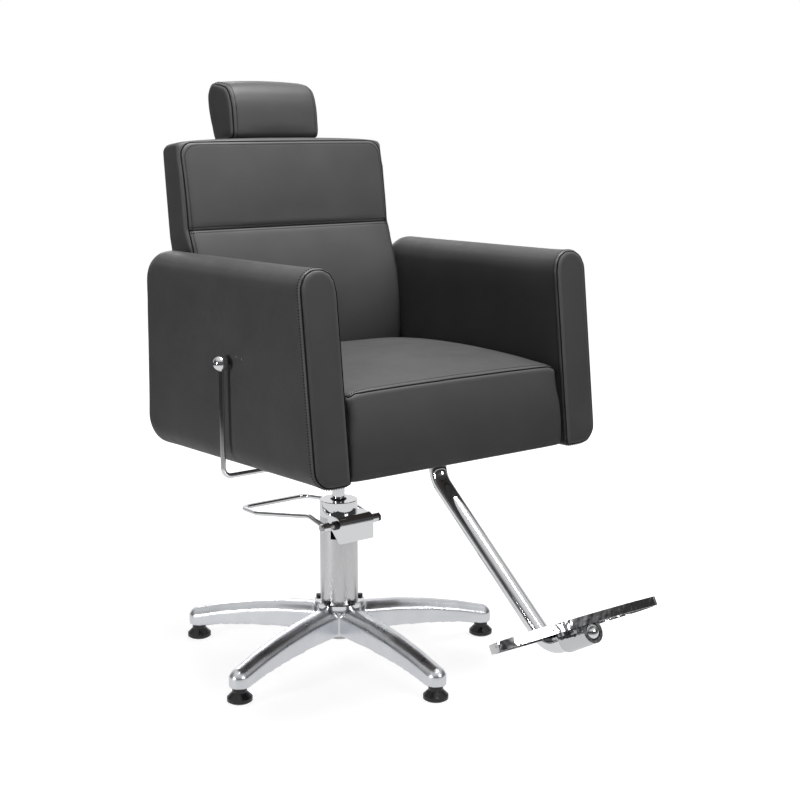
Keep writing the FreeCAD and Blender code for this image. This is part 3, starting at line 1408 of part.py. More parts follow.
def footrest_tread():
    body = new_body("Tread")
    pad(body, tread_outline(new_sketch(body, "XY_Plane", "tread_lift")), "tread_rim", reverse=True)
    hollow = tread_outline(new_sketch(body, "XY_Plane", "tread_lift - tread_rim"),
                           "tread_rim_wall")
    pocket(body, hollow, "tread_rim - tread_thick", reverse=True)
    rib = new_sketch(body, "XY_Plane", "tread_lift")
    first = "-tread_ribs_half"
    outline(rib, [
        (first, "tread_y - tread_end / 2"), (f"{first} + tread_rib", "tread_y - tread_end / 2"),
        (f"{first} + tread_rib", "tread_y + tread_end / 2"), (first, "tread_y + tread_end / 2"),
    ])
    raised = pad(body, rib, "tread_rib / 2")
    row = body.newObject("PartDesign::LinearPattern", "GripRibs")
    row.Originals = [raised]
    row.Direction = (plane_of(body, "X_Axis"), [""])
    bind(row, "Length", "2 * tread_ribs_half - tread_rib")
    bind(row, "Occurrences", "tread_ribs")
    body.Tip = row
    low = "tread_lift - tread_rim"
    high = "tread_lift - tread_thick / 2"
    collar = bar("y", "sleeve_radius", ("0", "-sleeve_front", "0"), "sleeve_length")
    web = block(("-web_half", "web_half"),
                ("-sleeve_front", "sleeve_length - sleeve_front"), ("0", high))
    bosses = []
    for x in screw_xs():
        bosses.append(bar("z", "screw_boss", (x, "tread_y", low), f"{high} - ({low})"))
    braces = [block((x, f"{x} + tread_thick"),
                    ("tread_y - brace_half", "tread_y + brace_half"),
                    (f"{low} + tread_thick", high)) for x in brace_xs()]
    bore = bar("y", "foot_tube", ("0", "0", "0"), "sleeve_length + past")
    mouth = bar("y", "dome_radius", ("0", "-sleeve_front - past", "0"), "sleeve_front + past")
    holes = [bar("z", "screw_radius", (x, "tread_y", f"{low} - past"),
                 f"{high} - ({low}) + past") for x in screw_xs()]
    tread = cut(fuse(body, collar, web, *bosses, *braces), bore, mouth, *holes)
    tread.Placement = footrest_place()
    finish(tread, "footrest_tread")
    screws = []
    for x in screw_xs():
        shank = bar("z", "screw_radius", (x, "tread_y", low), f"{high} - ({low})")
        head = bar("z", "screw_head_radius", (x, "tread_y", f"{low} - screw_head"), "screw_head")
        screws.append(fuse(shank, head))
    both = group(*screws)
    both.Placement = footrest_place()
    finish(both, "tread_screws")


def screw_xs():
    return ("-screw_x", "screw_x")


# Places of the cross braces under the tread, counted from its middle
BRACE_SHARES = (-0.72, -0.47, 0.44, 0.69)


def brace_xs():
    return [f"tread_half * {share}" for share in BRACE_SHARES]


def footrest_cap():
    """Domed plug in the mouth of the tread's collar, on the end of the tube."""
    body = new_body("FootCap")
    sketch = new_sketch(body, "XZ_Plane")
    front = "(sleeve_front - dome_radius / 2)"
    outline(sketch, [
        ("0", "-plug_length"), ("foot_tube - foot_wall", "-plug_length"),
        ("foot_tube - foot_wall", "0"), ("dome_radius", "0"),
        ("dome_radius", front, "dome_radius", -1), ("0", f"{front} + dome_radius"),
    ])
    turn(body, sketch)
    body.Placement = footrest_place().multiply(
        Placement(Vector(), Rotation(Vector(1, 0, 0), 90)))
    finish(body, "footrest_cap")


def foot_flange():
    body = new_body("FootFlange")
    wide = "(foot_bolt_x + flange_margin)"
    deep = "(foot_bolt_y + flange_margin)"
    sketch = new_sketch(body, "XY_Plane", "seat_floor - plate_thick")
    outline(sketch, [
        (f"-{wide}", f"foot_y - {deep}"), (wide, f"foot_y - {deep}"),
        (wide, f"foot_y + {deep}"), (f"-{wide}", f"foot_y + {deep}"),
    ])
    for x, y in foot_flange_bolts():
        circle(sketch, x, y, "arm_bolt_radius + bolt_gap")
    pad(body, sketch, "plate_thick")
    return body


def build():
    fill_sheet()
    star_base()
    glides()
    pump_column()
    column_flange()
    pump_head()
    pump_cylinder()
    lift_rod()
    pedal_bracket()
    pedal()
    plunger()
    swivel()
    seat_box()
    seat_cushion()
    boards = [arm_rest(-1, "right"), arm_rest(1, "left")]
    finish(group(*boards), "arm_boards")
    arm_bolts()
    hinge_brackets()
    hinge_pins()
    hinge_plates()
    hinge_tube()
    back_frame()
    back_cushion()
    back_panel()
    headrest()
    headrest_guide()
    gas_spring()
    spring_lug()
    recline_lever()
    footrest_tube()
    footrest_tread()
    footrest_cap()
    doc.recompute()


def check_and_write():
    broken = [o for o in doc.Objects if "Invalid" in o.State or "Error" in o.State]
    empty = [n for n in nodes if n.Shape.isNull() or not n.Shape.isValid()]
    for obj in broken + empty:
        print("not valid:", obj.Label, obj.Name, obj.State, [p.Label for p in obj.InListRecursive])
    if broken or empty:
        raise RuntimeError("The model has parts that did not build")
    os.makedirs("parts", exist_ok=True)
    for node in nodes:
        node.Shape.exportStep(f"parts/{node.Label}.step")
        print(node.Label, len(node.Shape.Solids), round(node.Shape.Volume))


build()
check_and_write()
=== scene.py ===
# %% [markdown]
# # A reclining threading chair
# This lesson dresses a chair whose metal, board and cushion solids come from a CAD model.
# The steel and cast parts keep their CAD shapes and get finishes. The cushions, which CAD
# can only block out, are sewn and stuffed here. We start by loading the CAD frame.

import json
import math

import bmesh
import bpy
import numpy as np
from mathutils import Matrix, Vector
from mathutils.bvhtree import BVHTree
from mathutils.kdtree import KDTree


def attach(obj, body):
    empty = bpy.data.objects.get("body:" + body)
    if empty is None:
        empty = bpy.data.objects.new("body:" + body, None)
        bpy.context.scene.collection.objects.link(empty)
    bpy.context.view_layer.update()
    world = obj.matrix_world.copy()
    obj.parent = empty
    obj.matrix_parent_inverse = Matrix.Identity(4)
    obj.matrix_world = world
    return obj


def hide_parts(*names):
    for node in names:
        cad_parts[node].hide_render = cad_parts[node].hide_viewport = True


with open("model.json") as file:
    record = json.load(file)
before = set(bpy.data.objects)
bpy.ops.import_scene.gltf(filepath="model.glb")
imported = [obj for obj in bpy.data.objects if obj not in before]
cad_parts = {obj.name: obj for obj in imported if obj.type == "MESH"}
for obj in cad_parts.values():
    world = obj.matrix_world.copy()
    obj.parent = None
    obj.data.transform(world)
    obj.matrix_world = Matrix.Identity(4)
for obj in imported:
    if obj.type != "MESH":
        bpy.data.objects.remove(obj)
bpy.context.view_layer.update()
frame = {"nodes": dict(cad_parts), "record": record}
NODES = frame["nodes"]
MM = 0.001

# %% [markdown]
# ## Camera
# The photograph was taken from the front left with a long lens, a little above the arms.
# A turn and a tilt place the camera, and the lens comes from the focal length in pixels
# of a picture 800 pixels wide.

# %% Place the camera
PICTURE_PIXELS = 800
FOCAL_PIXELS = 1427.26
SENSOR_MM = 36.0
CAMERA_TURN = math.radians(-37.591)
CAMERA_TILT = math.radians(10.9823)
CAMERA_PLACE = Vector((-1.58300, -2.25706, 1.05556))

camera_data = bpy.data.cameras.new("Camera")
camera_data.sensor_width = SENSOR_MM
camera_data.lens = FOCAL_PIXELS * SENSOR_MM / PICTURE_PIXELS
camera = bpy.data.objects.new("Camera", camera_data)
camera.location = CAMERA_PLACE
camera.rotation_euler = (math.pi / 2 - CAMERA_TILT, 0, CAMERA_TURN)
bpy.context.scene.collection.objects.link(camera)
bpy.context.scene.camera = camera
print("lens", round(camera_data.lens, 2), "mm")

# %% [markdown]
# ## Studio
# The chair stands on a white floor. The camera sees the world and the floor as plain white.
# Mirrors see a room instead: white below, a dark band above the horizon, a bright ceiling
# and a bright backdrop behind the chair, because chrome without anything dark to show looks
# like plaster. The same room fills the shadows a little, and soft lamps do the rest.

# %% Build the world, the floor and the lamps
WORLD_LIGHT = 0.07
BAND_DARK = 0.035
CEILING = 0.62
BACKDROP = 0.85
BACKDROP_WAY = (0.574, 0.819, 0.0)
FLOOR_HALF = 30.0
FLOOR_GREY = 0.42
FLOOR_NEAR = 0.86
FLOOR_FAR = 4.0
MIRRORED_FLOOR = 0.8
MIRRORED_REACH = 2.7

# Each ramp lists pairs of a position and a grey.
ROOM_BY_HEIGHT = ((0.0, 0.9), (0.04, BAND_DARK), (0.30, BAND_DARK * 1.6), (0.48, 0.22),
                  (0.66, CEILING), (1.0, 0.85))
ROOM_BY_WAY = ((0.0, 0.0), (0.45, 0.0), (0.80, BACKDROP), (1.0, BACKDROP))
FLOOR_IN_MIRRORS = ((0.0, 1.0), (0.45, 1.0), (1.0, BAND_DARK))
FLOOR_SEEN = ((0.0, FLOOR_NEAR), (0.22, FLOOR_NEAR), (1.0, 1.0))


def node_tree(data):
    """The cleared node tree of a material or world."""
    data.use_nodes = True
    data.node_tree.nodes.clear()
    return data.node_tree


def add(tree, kind, **inputs):
    """A node with some of its inputs set, found by their names."""
    node = tree.nodes.new(kind)
    for key, value in inputs.items():
        node.inputs[key.replace("_", " ")].default_value = value
    return node


def sums(tree, operation, *values):
    """A math node on sockets or plain numbers."""
    node = tree.nodes.new("ShaderNodeMath")
    node.operation = operation
    for slot, value in zip(node.inputs, values):
        if isinstance(value, (int, float)):
            slot.default_value = value
        else:
            tree.links.new(value, slot)
    return node.outputs[0]


def grey_ramp(tree, source, stops):
    """Greys along a value, from pairs of a position and a grey."""
    ramp = tree.nodes.new("ShaderNodeValToRGB")
    while len(ramp.color_ramp.elements) < len(stops):
        ramp.color_ramp.elements.new(0.5)
    for element, (position, grey) in zip(ramp.color_ramp.elements, stops):
        element.position = position
        element.color = (grey, grey, grey, 1)
    tree.links.new(source, ramp.inputs[0])
    return ramp.outputs[0]


def mixed(tree, share, first, second, output):
    """Mixes two shaders by a share and ends the tree in them."""
    mix = tree.nodes.new("ShaderNodeMixShader")
    for slot, source in zip(mix.inputs, (share, first.outputs[0], second.outputs[0])):
        tree.links.new(source, slot)
    tree.links.new(mix.outputs[0], tree.nodes.new(output).inputs[0])


world = bpy.data.worlds.new("Studio")
bpy.context.scene.world = world
tree = node_tree(world)
direction = tree.nodes.new("ShaderNodeTexCoord")
parts = tree.nodes.new("ShaderNodeSeparateXYZ")
tree.links.new(direction.outputs["Generated"], parts.inputs[0])
room = grey_ramp(tree, parts.outputs["Z"], ROOM_BY_HEIGHT)
behind = tree.nodes.new("ShaderNodeVectorMath")
behind.operation = "DOT_PRODUCT"
behind.inputs[1].default_value = BACKDROP_WAY
tree.links.new(direction.outputs["Generated"], behind.inputs[0])
backdrop = grey_ramp(tree, behind.outputs["Value"], ROOM_BY_WAY)
path = tree.nodes.new("ShaderNodeLightPath")
strength = sums(tree, "MAXIMUM", path.outputs["Is Glossy Ray"], WORLD_LIGHT)
lit = add(tree, "ShaderNodeBackground")
tree.links.new(sums(tree, "MAXIMUM", room, backdrop), lit.inputs["Color"])
tree.links.new(strength, lit.inputs["Strength"])
seen = add(tree, "ShaderNodeBackground", Color=(1, 1, 1, 1), Strength=1.0)
mixed(tree, path.outputs["Is Camera Ray"], lit, seen, "ShaderNodeOutputWorld")

floor_mesh = bpy.data.meshes.new("Floor")
corners = [(x * FLOOR_HALF, y * FLOOR_HALF, 0) for x, y in ((-1, -1), (1, -1), (1, 1), (-1, 1))]
floor_mesh.from_pydata(corners, [], [(0, 1, 2, 3)])
floor = bpy.data.objects.new("Floor", floor_mesh)
bpy.context.scene.collection.objects.link(floor)
floor_paint = bpy.data.materials.new("Floor")
tree = node_tree(floor_paint)
place = tree.nodes.new("ShaderNodeTexCoord")
far = tree.nodes.new("ShaderNodeVectorMath")
far.operation = "LENGTH"
tree.links.new(place.outputs["Object"], far.inputs[0])
near = grey_ramp(
    tree, sums(tree, "DIVIDE", far.outputs["Value"], MIRRORED_REACH), FLOOR_IN_MIRRORS)
path = tree.nodes.new("ShaderNodeLightPath")
seen = grey_ramp(tree, sums(tree, "DIVIDE", far.outputs["Value"], FLOOR_FAR), FLOOR_SEEN)
matte = add(tree, "ShaderNodeBsdfDiffuse", Color=(FLOOR_GREY, FLOOR_GREY, FLOOR_GREY, 1))
glow = add(tree, "ShaderNodeEmission", Color=(1, 1, 1, 1))
tree.links.new(sums(tree, "MULTIPLY", path.outputs["Is Camera Ray"], seen),
               glow.inputs["Strength"])
plain = tree.nodes.new("ShaderNodeAddShader")
tree.links.new(matte.outputs[0], plain.inputs[0])
tree.links.new(glow.outputs[0], plain.inputs[1])
mirrored = add(tree, "ShaderNodeEmission", Color=(1, 1, 1, 1))
tree.links.new(sums(tree, "MULTIPLY", near, MIRRORED_FLOOR), mirrored.inputs["Strength"])
mixed(tree, path.outputs["Is Glossy Ray"], plain, mirrored, "ShaderNodeOutputMaterial")
floor_mesh.materials.append(floor_paint)


def lamp(name, place, target, size, watts, spread=180):
    """A soft rectangular lamp at a place, turned towards a target."""
    data = bpy.data.lights.new(name, "AREA")
    data.shape = "RECTANGLE"
    data.size, data.size_y = size
    data.energy = watts
    data.spread = math.radians(spread)
    obj = bpy.data.objects.new(name, data)
    obj.location = place
    way = Vector(target) - Vector(place)
    obj.rotation_euler = way.to_track_quat("-Z", "Y").to_euler()
    bpy.context.scene.collection.objects.link(obj)


lamp("Overhead", (0.24, -0.5, 3.0), (0, -0.1, 0.6), (1.5, 1.3), 124)
lamp("Front", (0.75, -3.15, 1.7), (0, 0, 0.75), (1.0, 0.9), 23)
lamp("Rear", (1.2, 3.2, 1.8), (0, 0, 0.75), (1.0, 0.9), 16)
lamp("Left", (-2.9, -0.05, 0.8), (0, -0.1, 0.62), (0.25, 0.8), 8.5, 90)
bpy.context.scene.view_settings.view_transform = "Standard"

# %% [markdown]
# ## Finishes
# Each finish is a small node tree on Object coordinates, which are metres, so a scale of
# 1000 makes a pattern about a millimetre wide. A helper starts every finish with a
# Principled shader, and two more add a mottled roughness and a bump.

# %% Helpers for finishes
FINISHES = {}


def finish(name, colour, roughness, metallic=0.0, **inputs):
    """A material with a Principled shader, kept by name."""
    material = bpy.data.materials.new(name)
    tree = node_tree(material)
    shader = add(tree, "ShaderNodeBsdfPrincipled", Roughness=roughness, Metallic=metallic)
    shader.inputs["Base Color"].default_value = (*colour, 1)
    for key, value in inputs.items():
        shader.inputs[key.replace("_", " ")].default_value = value
    out = tree.nodes.new("ShaderNodeOutputMaterial")
    tree.links.new(shader.outputs[0], out.inputs[0])
    FINISHES[name] = material
    return material, tree, shader


def coordinates(tree, stretch=(1, 1, 1)):
    """Object coordinates, stretched along the axes."""
    place = tree.nodes.new("ShaderNodeTexCoord")
    mapping = add(tree, "ShaderNodeMapping", Scale=stretch)
    tree.links.new(place.outputs["Object"], mapping.inputs["Vector"])
    return mapping.outputs[0]


def noise(tree, where, scale, detail=4.0, roughness=0.55):
    node = add(tree, "ShaderNodeTexNoise", Scale=scale, Detail=detail, Roughness=roughness)
    tree.links.new(where, node.inputs["Vector"])
    return node.outputs["Fac"]


def spread(tree, source, low, high, start=0.3, end=0.7):
    """Maps a pattern's middle range onto new values."""
    node = add(tree, "ShaderNodeMapRange")
    node.inputs["From Min"].default_value = start
    node.inputs["From Max"].default_value = end
    node.inputs["To Min"].default_value = low
    node.inputs["To Max"].default_value = high
    tree.links.new(source, node.inputs["Value"])
    return node.outputs["Result"]


def mottle(tree, shader, where, scale, low, high):
    """Varies the roughness with a noise."""
    tree.links.new(spread(tree, noise(tree, where, scale), low, high), shader.inputs["Roughness"])


def tint(tree, shader, source, dark, light):
    """Colours the shader between two colours by a pattern."""
    ramp = tree.nodes.new("ShaderNodeValToRGB")
    ramp.color_ramp.elements[0].position = 0.3
    ramp.color_ramp.elements[1].position = 0.7
    ramp.color_ramp.elements[0].color = (*dark, 1)
    ramp.color_ramp.elements[1].color = (*light, 1)
    tree.links.new(source, ramp.inputs[0])
    tree.links.new(ramp.outputs[0], shader.inputs["Base Color"])
    return ramp.outputs[0]


def bump(tree, shader, height, distance, strength=1.0, below=None):
    node = add(tree, "ShaderNodeBump", Strength=strength, Distance=distance)
    tree.links.new(height, node.inputs["Height"])
    if below is not None:
        tree.links.new(below, node.inputs["Normal"])
    tree.links.new(node.outputs[0], shader.inputs["Normal"])
    return node.outputs[0]


# %% [markdown]
# ### Leatherette
# The cover is charcoal coated cloth. A pebbled grain comes from a Voronoi pattern about a
# millimetre wide, with fine pores over it. Slow noise varies the colour and the gloss, as
# handling does on the real cover.

# %% Make the leatherette and its thread
SEAM_SPAN = 20.0 * MM
PLAIN_SHADE = 0.62
# Painted shade darkens the cover in the seam's groove, and a painted highlight lightens the
# rolled edge just beside it. Each pair is a distance from the seam, as a share of SEAM_SPAN, and
# a grey.
SHADE_BY_SEAM = ((0.0, 0.25), (0.07, 0.35), (0.13, 1.0), (0.20, 0.82), (0.50, PLAIN_SHADE),
                 (1.0, PLAIN_SHADE))

_, tree, shader = finish("Leatherette", (0.056, 0.056, 0.058), 0.5)
shader.inputs["Specular IOR Level"].default_value = 0.30
where = coordinates(tree)
slow = noise(tree, where, 9.0, 3.0)
cloth = tint(tree, shader, slow, (0.047, 0.047, 0.048), (0.057, 0.057, 0.058))
# The distance to the seam paints shade into the groove and a highlight on the rolled edge beside
# it, multiplied into the cover's colour.
near_seam = tree.nodes.new("ShaderNodeAttribute")
near_seam.attribute_name = "seam"
shade = grey_ramp(
    tree, sums(tree, "DIVIDE", near_seam.outputs["Fac"], SEAM_SPAN), SHADE_BY_SEAM)
painted_seam_light = tree.nodes.new("ShaderNodeMix")
painted_seam_light.data_type = "RGBA"
painted_seam_light.blend_type = "MULTIPLY"
painted_seam_light.inputs["Factor"].default_value = 1.0
tree.links.new(cloth, painted_seam_light.inputs["A"])
tree.links.new(shade, painted_seam_light.inputs["B"])
brighter = tree.nodes.new("ShaderNodeVectorMath")
brighter.operation = "SCALE"
brighter.inputs["Scale"].default_value = 1.0 / PLAIN_SHADE
tree.links.new(painted_seam_light.outputs["Result"], brighter.inputs[0])
tree.links.new(brighter.outputs[0], shader.inputs["Base Color"])
mottle(tree, shader, where, 26.0, 0.44, 0.58)
pebble = add(tree, "ShaderNodeTexVoronoi", Scale=780.0)
pebble.feature = "SMOOTH_F1"
tree.links.new(where, pebble.inputs["Vector"])
grain = bump(tree, shader, pebble.outputs["Distance"], 0.00022, 0.55)
bump(tree, shader, noise(tree, where, 2600.0, 2.0), 0.00008, 0.5, grain)

_, tree, shader = finish("Thread", (0.006, 0.006, 0.006), 0.8)
shader.inputs["Specular IOR Level"].default_value = 0.2
bump(tree, shader, noise(tree, coordinates(tree), 2200.0, 2.0), 0.0001, 0.6)

# The welt is real piping. Its near-black colour, far darker than the cover, also stands in for
# the shade in the seam's groove, as painted shade.
_, tree, shader = finish("Welt", (0.004, 0.004, 0.004), 0.8)
shader.inputs["Specular IOR Level"].default_value = 0.15
bump(tree, shader, noise(tree, coordinates(tree), 1500.0, 2.0), 0.0001, 0.5)
print("finishes so far:", sorted(FINISHES))

# %% [markdown]
# ### Metals, board and rubber
# Chrome is a mirror with faint smears. The cast aluminium has a satin polish, with a slight
# waviness left by the mould. The column is brushed along its length, which stretched noise
# gives. Black parts are powder coated, so they have a fine orange peel.

# %% Make the other finishes
_, tree, shader = finish("Chrome", (0.78, 0.79, 0.80), 0.05, 1.0)
where = coordinates(tree)
mottle(tree, shader, where, 40.0, 0.03, 0.09)
bump(tree, shader, noise(tree, where, 90.0, 2.0), 0.0001, 0.12)

_, tree, shader = finish("PolishedCasting", (0.74, 0.75, 0.78), 0.3, 1.0)
where = coordinates(tree)
mottle(tree, shader, where, 30.0, 0.26, 0.34)
tint(tree, shader, noise(tree, where, 22.0), (0.70, 0.72, 0.76), (0.78, 0.79, 0.81))
bump(tree, shader, noise(tree, where, 30.0, 1.0), 0.0004, 0.1)

_, tree, shader = finish("CastChrome", (0.62, 0.63, 0.64), 0.06, 1.0)
where = coordinates(tree)
mottle(tree, shader, where, 60.0, 0.04, 0.14)
dents = bump(tree, shader, noise(tree, where, 70.0, 1.0), 0.0028, 0.5)
bump(tree, shader, noise(tree, where, 240.0, 1.0), 0.0005, 0.4, dents)

_, tree, shader = finish("BrushedTube", (0.66, 0.66, 0.67), 0.3, 1.0)
where = coordinates(tree, (1, 1, 0.02))
mottle(tree, shader, where, 900.0, 0.24, 0.36)
bump(tree, shader, noise(tree, where, 1400.0, 2.0), 0.00005, 0.4)

_, tree, shader = finish("ZincSteel", (0.50, 0.50, 0.50), 0.36, 1.0)
where = coordinates(tree)
tint(tree, shader, noise(tree, where, 120.0), (0.44, 0.44, 0.43), (0.56, 0.56, 0.55))
mottle(tree, shader, where, 300.0, 0.28, 0.46)

_, tree, shader = finish("PowderBlack", (0.02, 0.02, 0.021), 0.42)
where = coordinates(tree)
mottle(tree, shader, where, 80.0, 0.36, 0.5)
bump(tree, shader, noise(tree, where, 700.0, 2.0), 0.00012, 0.5)

_, tree, shader = finish("GlossBlack", (0.010, 0.010, 0.011), 0.16)
where = coordinates(tree)
mottle(tree, shader, where, 150.0, 0.10, 0.30)
bump(tree, shader, noise(tree, where, 400.0, 2.0), 0.00006, 0.3)

_, tree, shader = finish("SealRubber", (0.016, 0.016, 0.016), 0.7)
bump(tree, shader, noise(tree, coordinates(tree), 900.0), 0.00008, 0.5)

_, tree, shader = finish("Bronze", (0.55, 0.40, 0.20), 0.28, 1.0)
where = coordinates(tree, (1, 1, 0.1))
mottle(tree, shader, where, 700.0, 0.22, 0.38)

_, tree, shader = finish("Plywood", (0.05, 0.03, 0.025), 0.6)
where = coordinates(tree, (1, 0.12, 1))
layers = add(tree, "ShaderNodeTexWave", Scale=95.0, Distortion=1.2, Detail=2.0)
layers.bands_direction = "Z"
tree.links.new(where, layers.inputs["Vector"])
tint(tree, shader, layers.outputs["Fac"], (0.030, 0.016, 0.013), (0.060, 0.034, 0.026))
bump(tree, shader, noise(tree, where, 260.0), 0.0002, 0.4)
print("finishes:", sorted(FINISHES))

# %% [markdown]
# ## Cushions: shapes
# Each cushion starts from the outside of its CAD solid, so it fills the space that the
# solid holds. The arm rests and the headrest are convex, so their hull drops the board
# inside. The back and the headrest are worked on upright, in the frame of the backrest.
# The arm rests are sheared until their sloping fronts are upright. All are turned back at
# the end. A voxel remesh gives even squares of about 6 mm.

# %% Copy and remesh the cushion solids
VOXEL = 6.0 * MM
WELD_REACH = 0.01 * MM
LEAN = math.radians(6.2)
UPRIGHT = Matrix.Identity(4)
LEANING = Matrix.Translation((0, 150 * MM, 550 * MM)) @ Matrix.Rotation(-LEAN, 4, "X")
ARM_FRONT_LOW, ARM_FRONT_TOP = -392, -350
ARM_LOW, ARM_TOP = 463, 825
ARM_INNER, ARM_OUTER, ARM_ROUND = 246, 320, 35
ARM_SLOPE = (ARM_FRONT_TOP - ARM_FRONT_LOW) / (ARM_TOP - ARM_LOW)
SHEARED = Matrix.Identity(4)
SHEARED[1][2], SHEARED[1][3] = ARM_SLOPE, -ARM_SLOPE * ARM_LOW * MM


def outside(name, frame_matrix, hull):
    """The merged outside of a CAD solid, moved into the frame it is worked on in."""
    form = bmesh.new()
    if hull:
        for vertex in NODES[name].data.vertices:
            form.verts.new(vertex.co)
        made = bmesh.ops.convex_hull(form, input=form.verts)
        inner = [g for g in made["geom_interior"] if isinstance(g, bmesh.types.BMVert)]
        bmesh.ops.delete(form, geom=inner, context="VERTS")
    else:
        form.from_mesh(NODES[name].data)
        bmesh.ops.remove_doubles(form, verts=form.verts, dist=WELD_REACH)
    form.transform(frame_matrix.inverted())
    mesh = bpy.data.meshes.new(name)
    form.to_mesh(mesh)
    form.free()
    return mesh


def evaluated(obj):
    """The mesh of an object with its modifiers applied."""
    graph = bpy.context.evaluated_depsgraph_get()
    return bpy.data.meshes.new_from_object(obj.evaluated_get(graph), depsgraph=graph)


def in_scene(name, data):
    obj = bpy.data.objects.new(name, data)
    bpy.context.scene.collection.objects.link(obj)
    return obj


def points_of(mesh):
    found = np.empty(len(mesh.vertices) * 3)
    mesh.vertices.foreach_get("co", found)
    return found.reshape(-1, 3)


def normals_of(mesh):
    found = np.empty(len(mesh.vertices) * 3)
    mesh.vertex_normals.foreach_get("vector", found)
    return found.reshape(-1, 3)


def move_points(mesh, points):
    mesh.vertices.foreach_set("co", points.ravel())
    mesh.update()


def soften(mesh, times):
    """Rounds the edges of a remeshed form a little."""
    form = bmesh.new()
    form.from_mesh(mesh)
    for _ in range(times):
        bmesh.ops.smooth_vert(form, verts=form.verts, factor=0.5, use_axis_x=True,
                              use_axis_y=True, use_axis_z=True)
    form.to_mesh(mesh)
    form.free()


def remeshed(name, mesh, voxel, times):
    obj = in_scene(name, mesh)
    modifier = obj.modifiers.new("Voxels", "REMESH")
    modifier.mode = "VOXEL"
    modifier.voxel_size = voxel
    result = evaluated(obj)
    obj.modifiers.clear()
    obj.data = result
    soften(result, times)
    return obj


# %% [markdown]
# ## Cushions: seams
# A seam is a chain of points close to the cover. Each point is dropped onto the nearest
# place of the mesh, so the same chain serves before and after the cushion is stuffed.
# The tables below say where the cover of each cushion is sewn, in millimetres.

# %% Describe the seams
STEP = 2.0
HEAD_MIDDLE = (46, 539)


def arc(centre, radius, start, end, count=16):
    """Points along an arc in a plane, in degrees."""
    angles = np.radians(np.linspace(start, end, count))
    return [(centre[0] + radius * math.cos(a), centre[1] + radius * math.sin(a)) for a in angles]


def even(points, step=STEP, closed=False):
    """A chain of points with even steps."""
    points = np.asarray(points, float)
    if closed:
        points = np.vstack([points, points[:1]])
    lengths = np.linalg.norm(np.diff(points, axis=0), axis=1)
    along = np.concatenate([[0], np.cumsum(lengths)])
    count = max(int(along[-1] / step), 2)
    wanted = np.linspace(0, along[-1], count + 1)
    if closed:
        wanted = wanted[:-1]
    return np.column_stack([np.interp(wanted, along, points[:, k]) for k in range(3)])


def arm_rim(side, inset, back):
    """The edge of an arm rest's front panel, as points beside the cover."""
    low = ARM_LOW + inset
    turn = ARM_ROUND - inset
    outer = ARM_OUTER - inset
    inner = ARM_INNER + inset
    middle = (ARM_INNER + ARM_OUTER) / 2
    flat = [(inner, low), (inner, ARM_TOP - ARM_ROUND)]
    flat += arc((middle, ARM_TOP - ARM_ROUND), (outer - inner) / 2, 180, 0)
    flat += [(outer, ARM_LOW + ARM_ROUND)]
    flat += arc((outer - turn, ARM_LOW + ARM_ROUND), turn, 0, -90)
    flat += [(inner, low)]
    return [(side * x, ARM_FRONT_LOW + back, z) for x, z in flat]


def bow_of_top(x, z):
    """How far the back's top edge falls towards its corners, in millimetres."""
    return -5.0 * (np.abs(x) / 240) ** 2.5 * np.clip((z - 360) / 118, 0, 1) ** 2


def back_rim(inset, forward):
    """The edge of the back's front panel with round corners, in the backrest's frame."""
    half, low, top, turn = 240 - inset, 30 + inset, 478 - inset, 26
    flat = arc((half - turn, top - turn), turn, 0, 90)
    flat += arc((-half + turn, top - turn), turn, 90, 180)
    flat += arc((-half + turn, low + turn), turn, 180, 270)
    flat += arc((half - turn, low + turn), turn, 270, 360)
    return [(x, forward, z + bow_of_top(x, z)) for x, z in flat]


def head_ring(x):
    """A ring round the headrest."""
    y, z = HEAD_MIDDLE
    return [(x, y + 100 * math.cos(a), z + 100 * math.sin(a))
            for a in np.radians(np.arange(0, 360, 4))]


def seat_rim(side_in, front_in, height):
    """The front and side edges of the seat's top."""
    half, front, rear = 246 - side_in, -376 + front_in, 84
    return [(-half, rear, height), (-half, front, height), (half, front, height),
            (half, rear, height)]


def panel_rim():
    """The edge of the rear panel, in the backrest's frame."""
    half, low, top, turn = 217, -15, 436, 14
    flat = arc((half - turn, top - turn), turn, 0, 90, 8)
    flat += arc((-half + turn, top - turn), turn, 90, 180, 8)
    flat += arc((-half + turn, low + turn), turn, 180, 270, 8)
    flat += arc((half - turn, low + turn), turn, 270, 360, 8)
    return [(x, 60, z) for x, z in flat]


# %% [markdown]
# Every entry gives the cushion's frame, body and remeshing, how far it is drawn in before
# it is stuffed, how far a point may swell, and its seams. A seam's aim says how its points
# reach the cover: the nearest place, or a straight line from outside along a direction.

# %% List the cushions
NEAREST = None
FROM_FRONT = (0, 1, 0)
FROM_REAR = (0, -1, 0)
FROM_TOP = (0, 0, -1)
TO_MIDDLE = "middle"


def seam(points, aim=NEAREST, closed=False, shift=(0, 0, 0)):
    return {"points": even(points, closed=closed), "aim": aim, "closed": closed, "shift": shift}


def arm_seams(side):
    return {
        "welts": [seam(arm_rim(side, 1, 0), closed=True)],
        "stitches": [seam(arm_rim(side, -4, 8), closed=True)],
    }


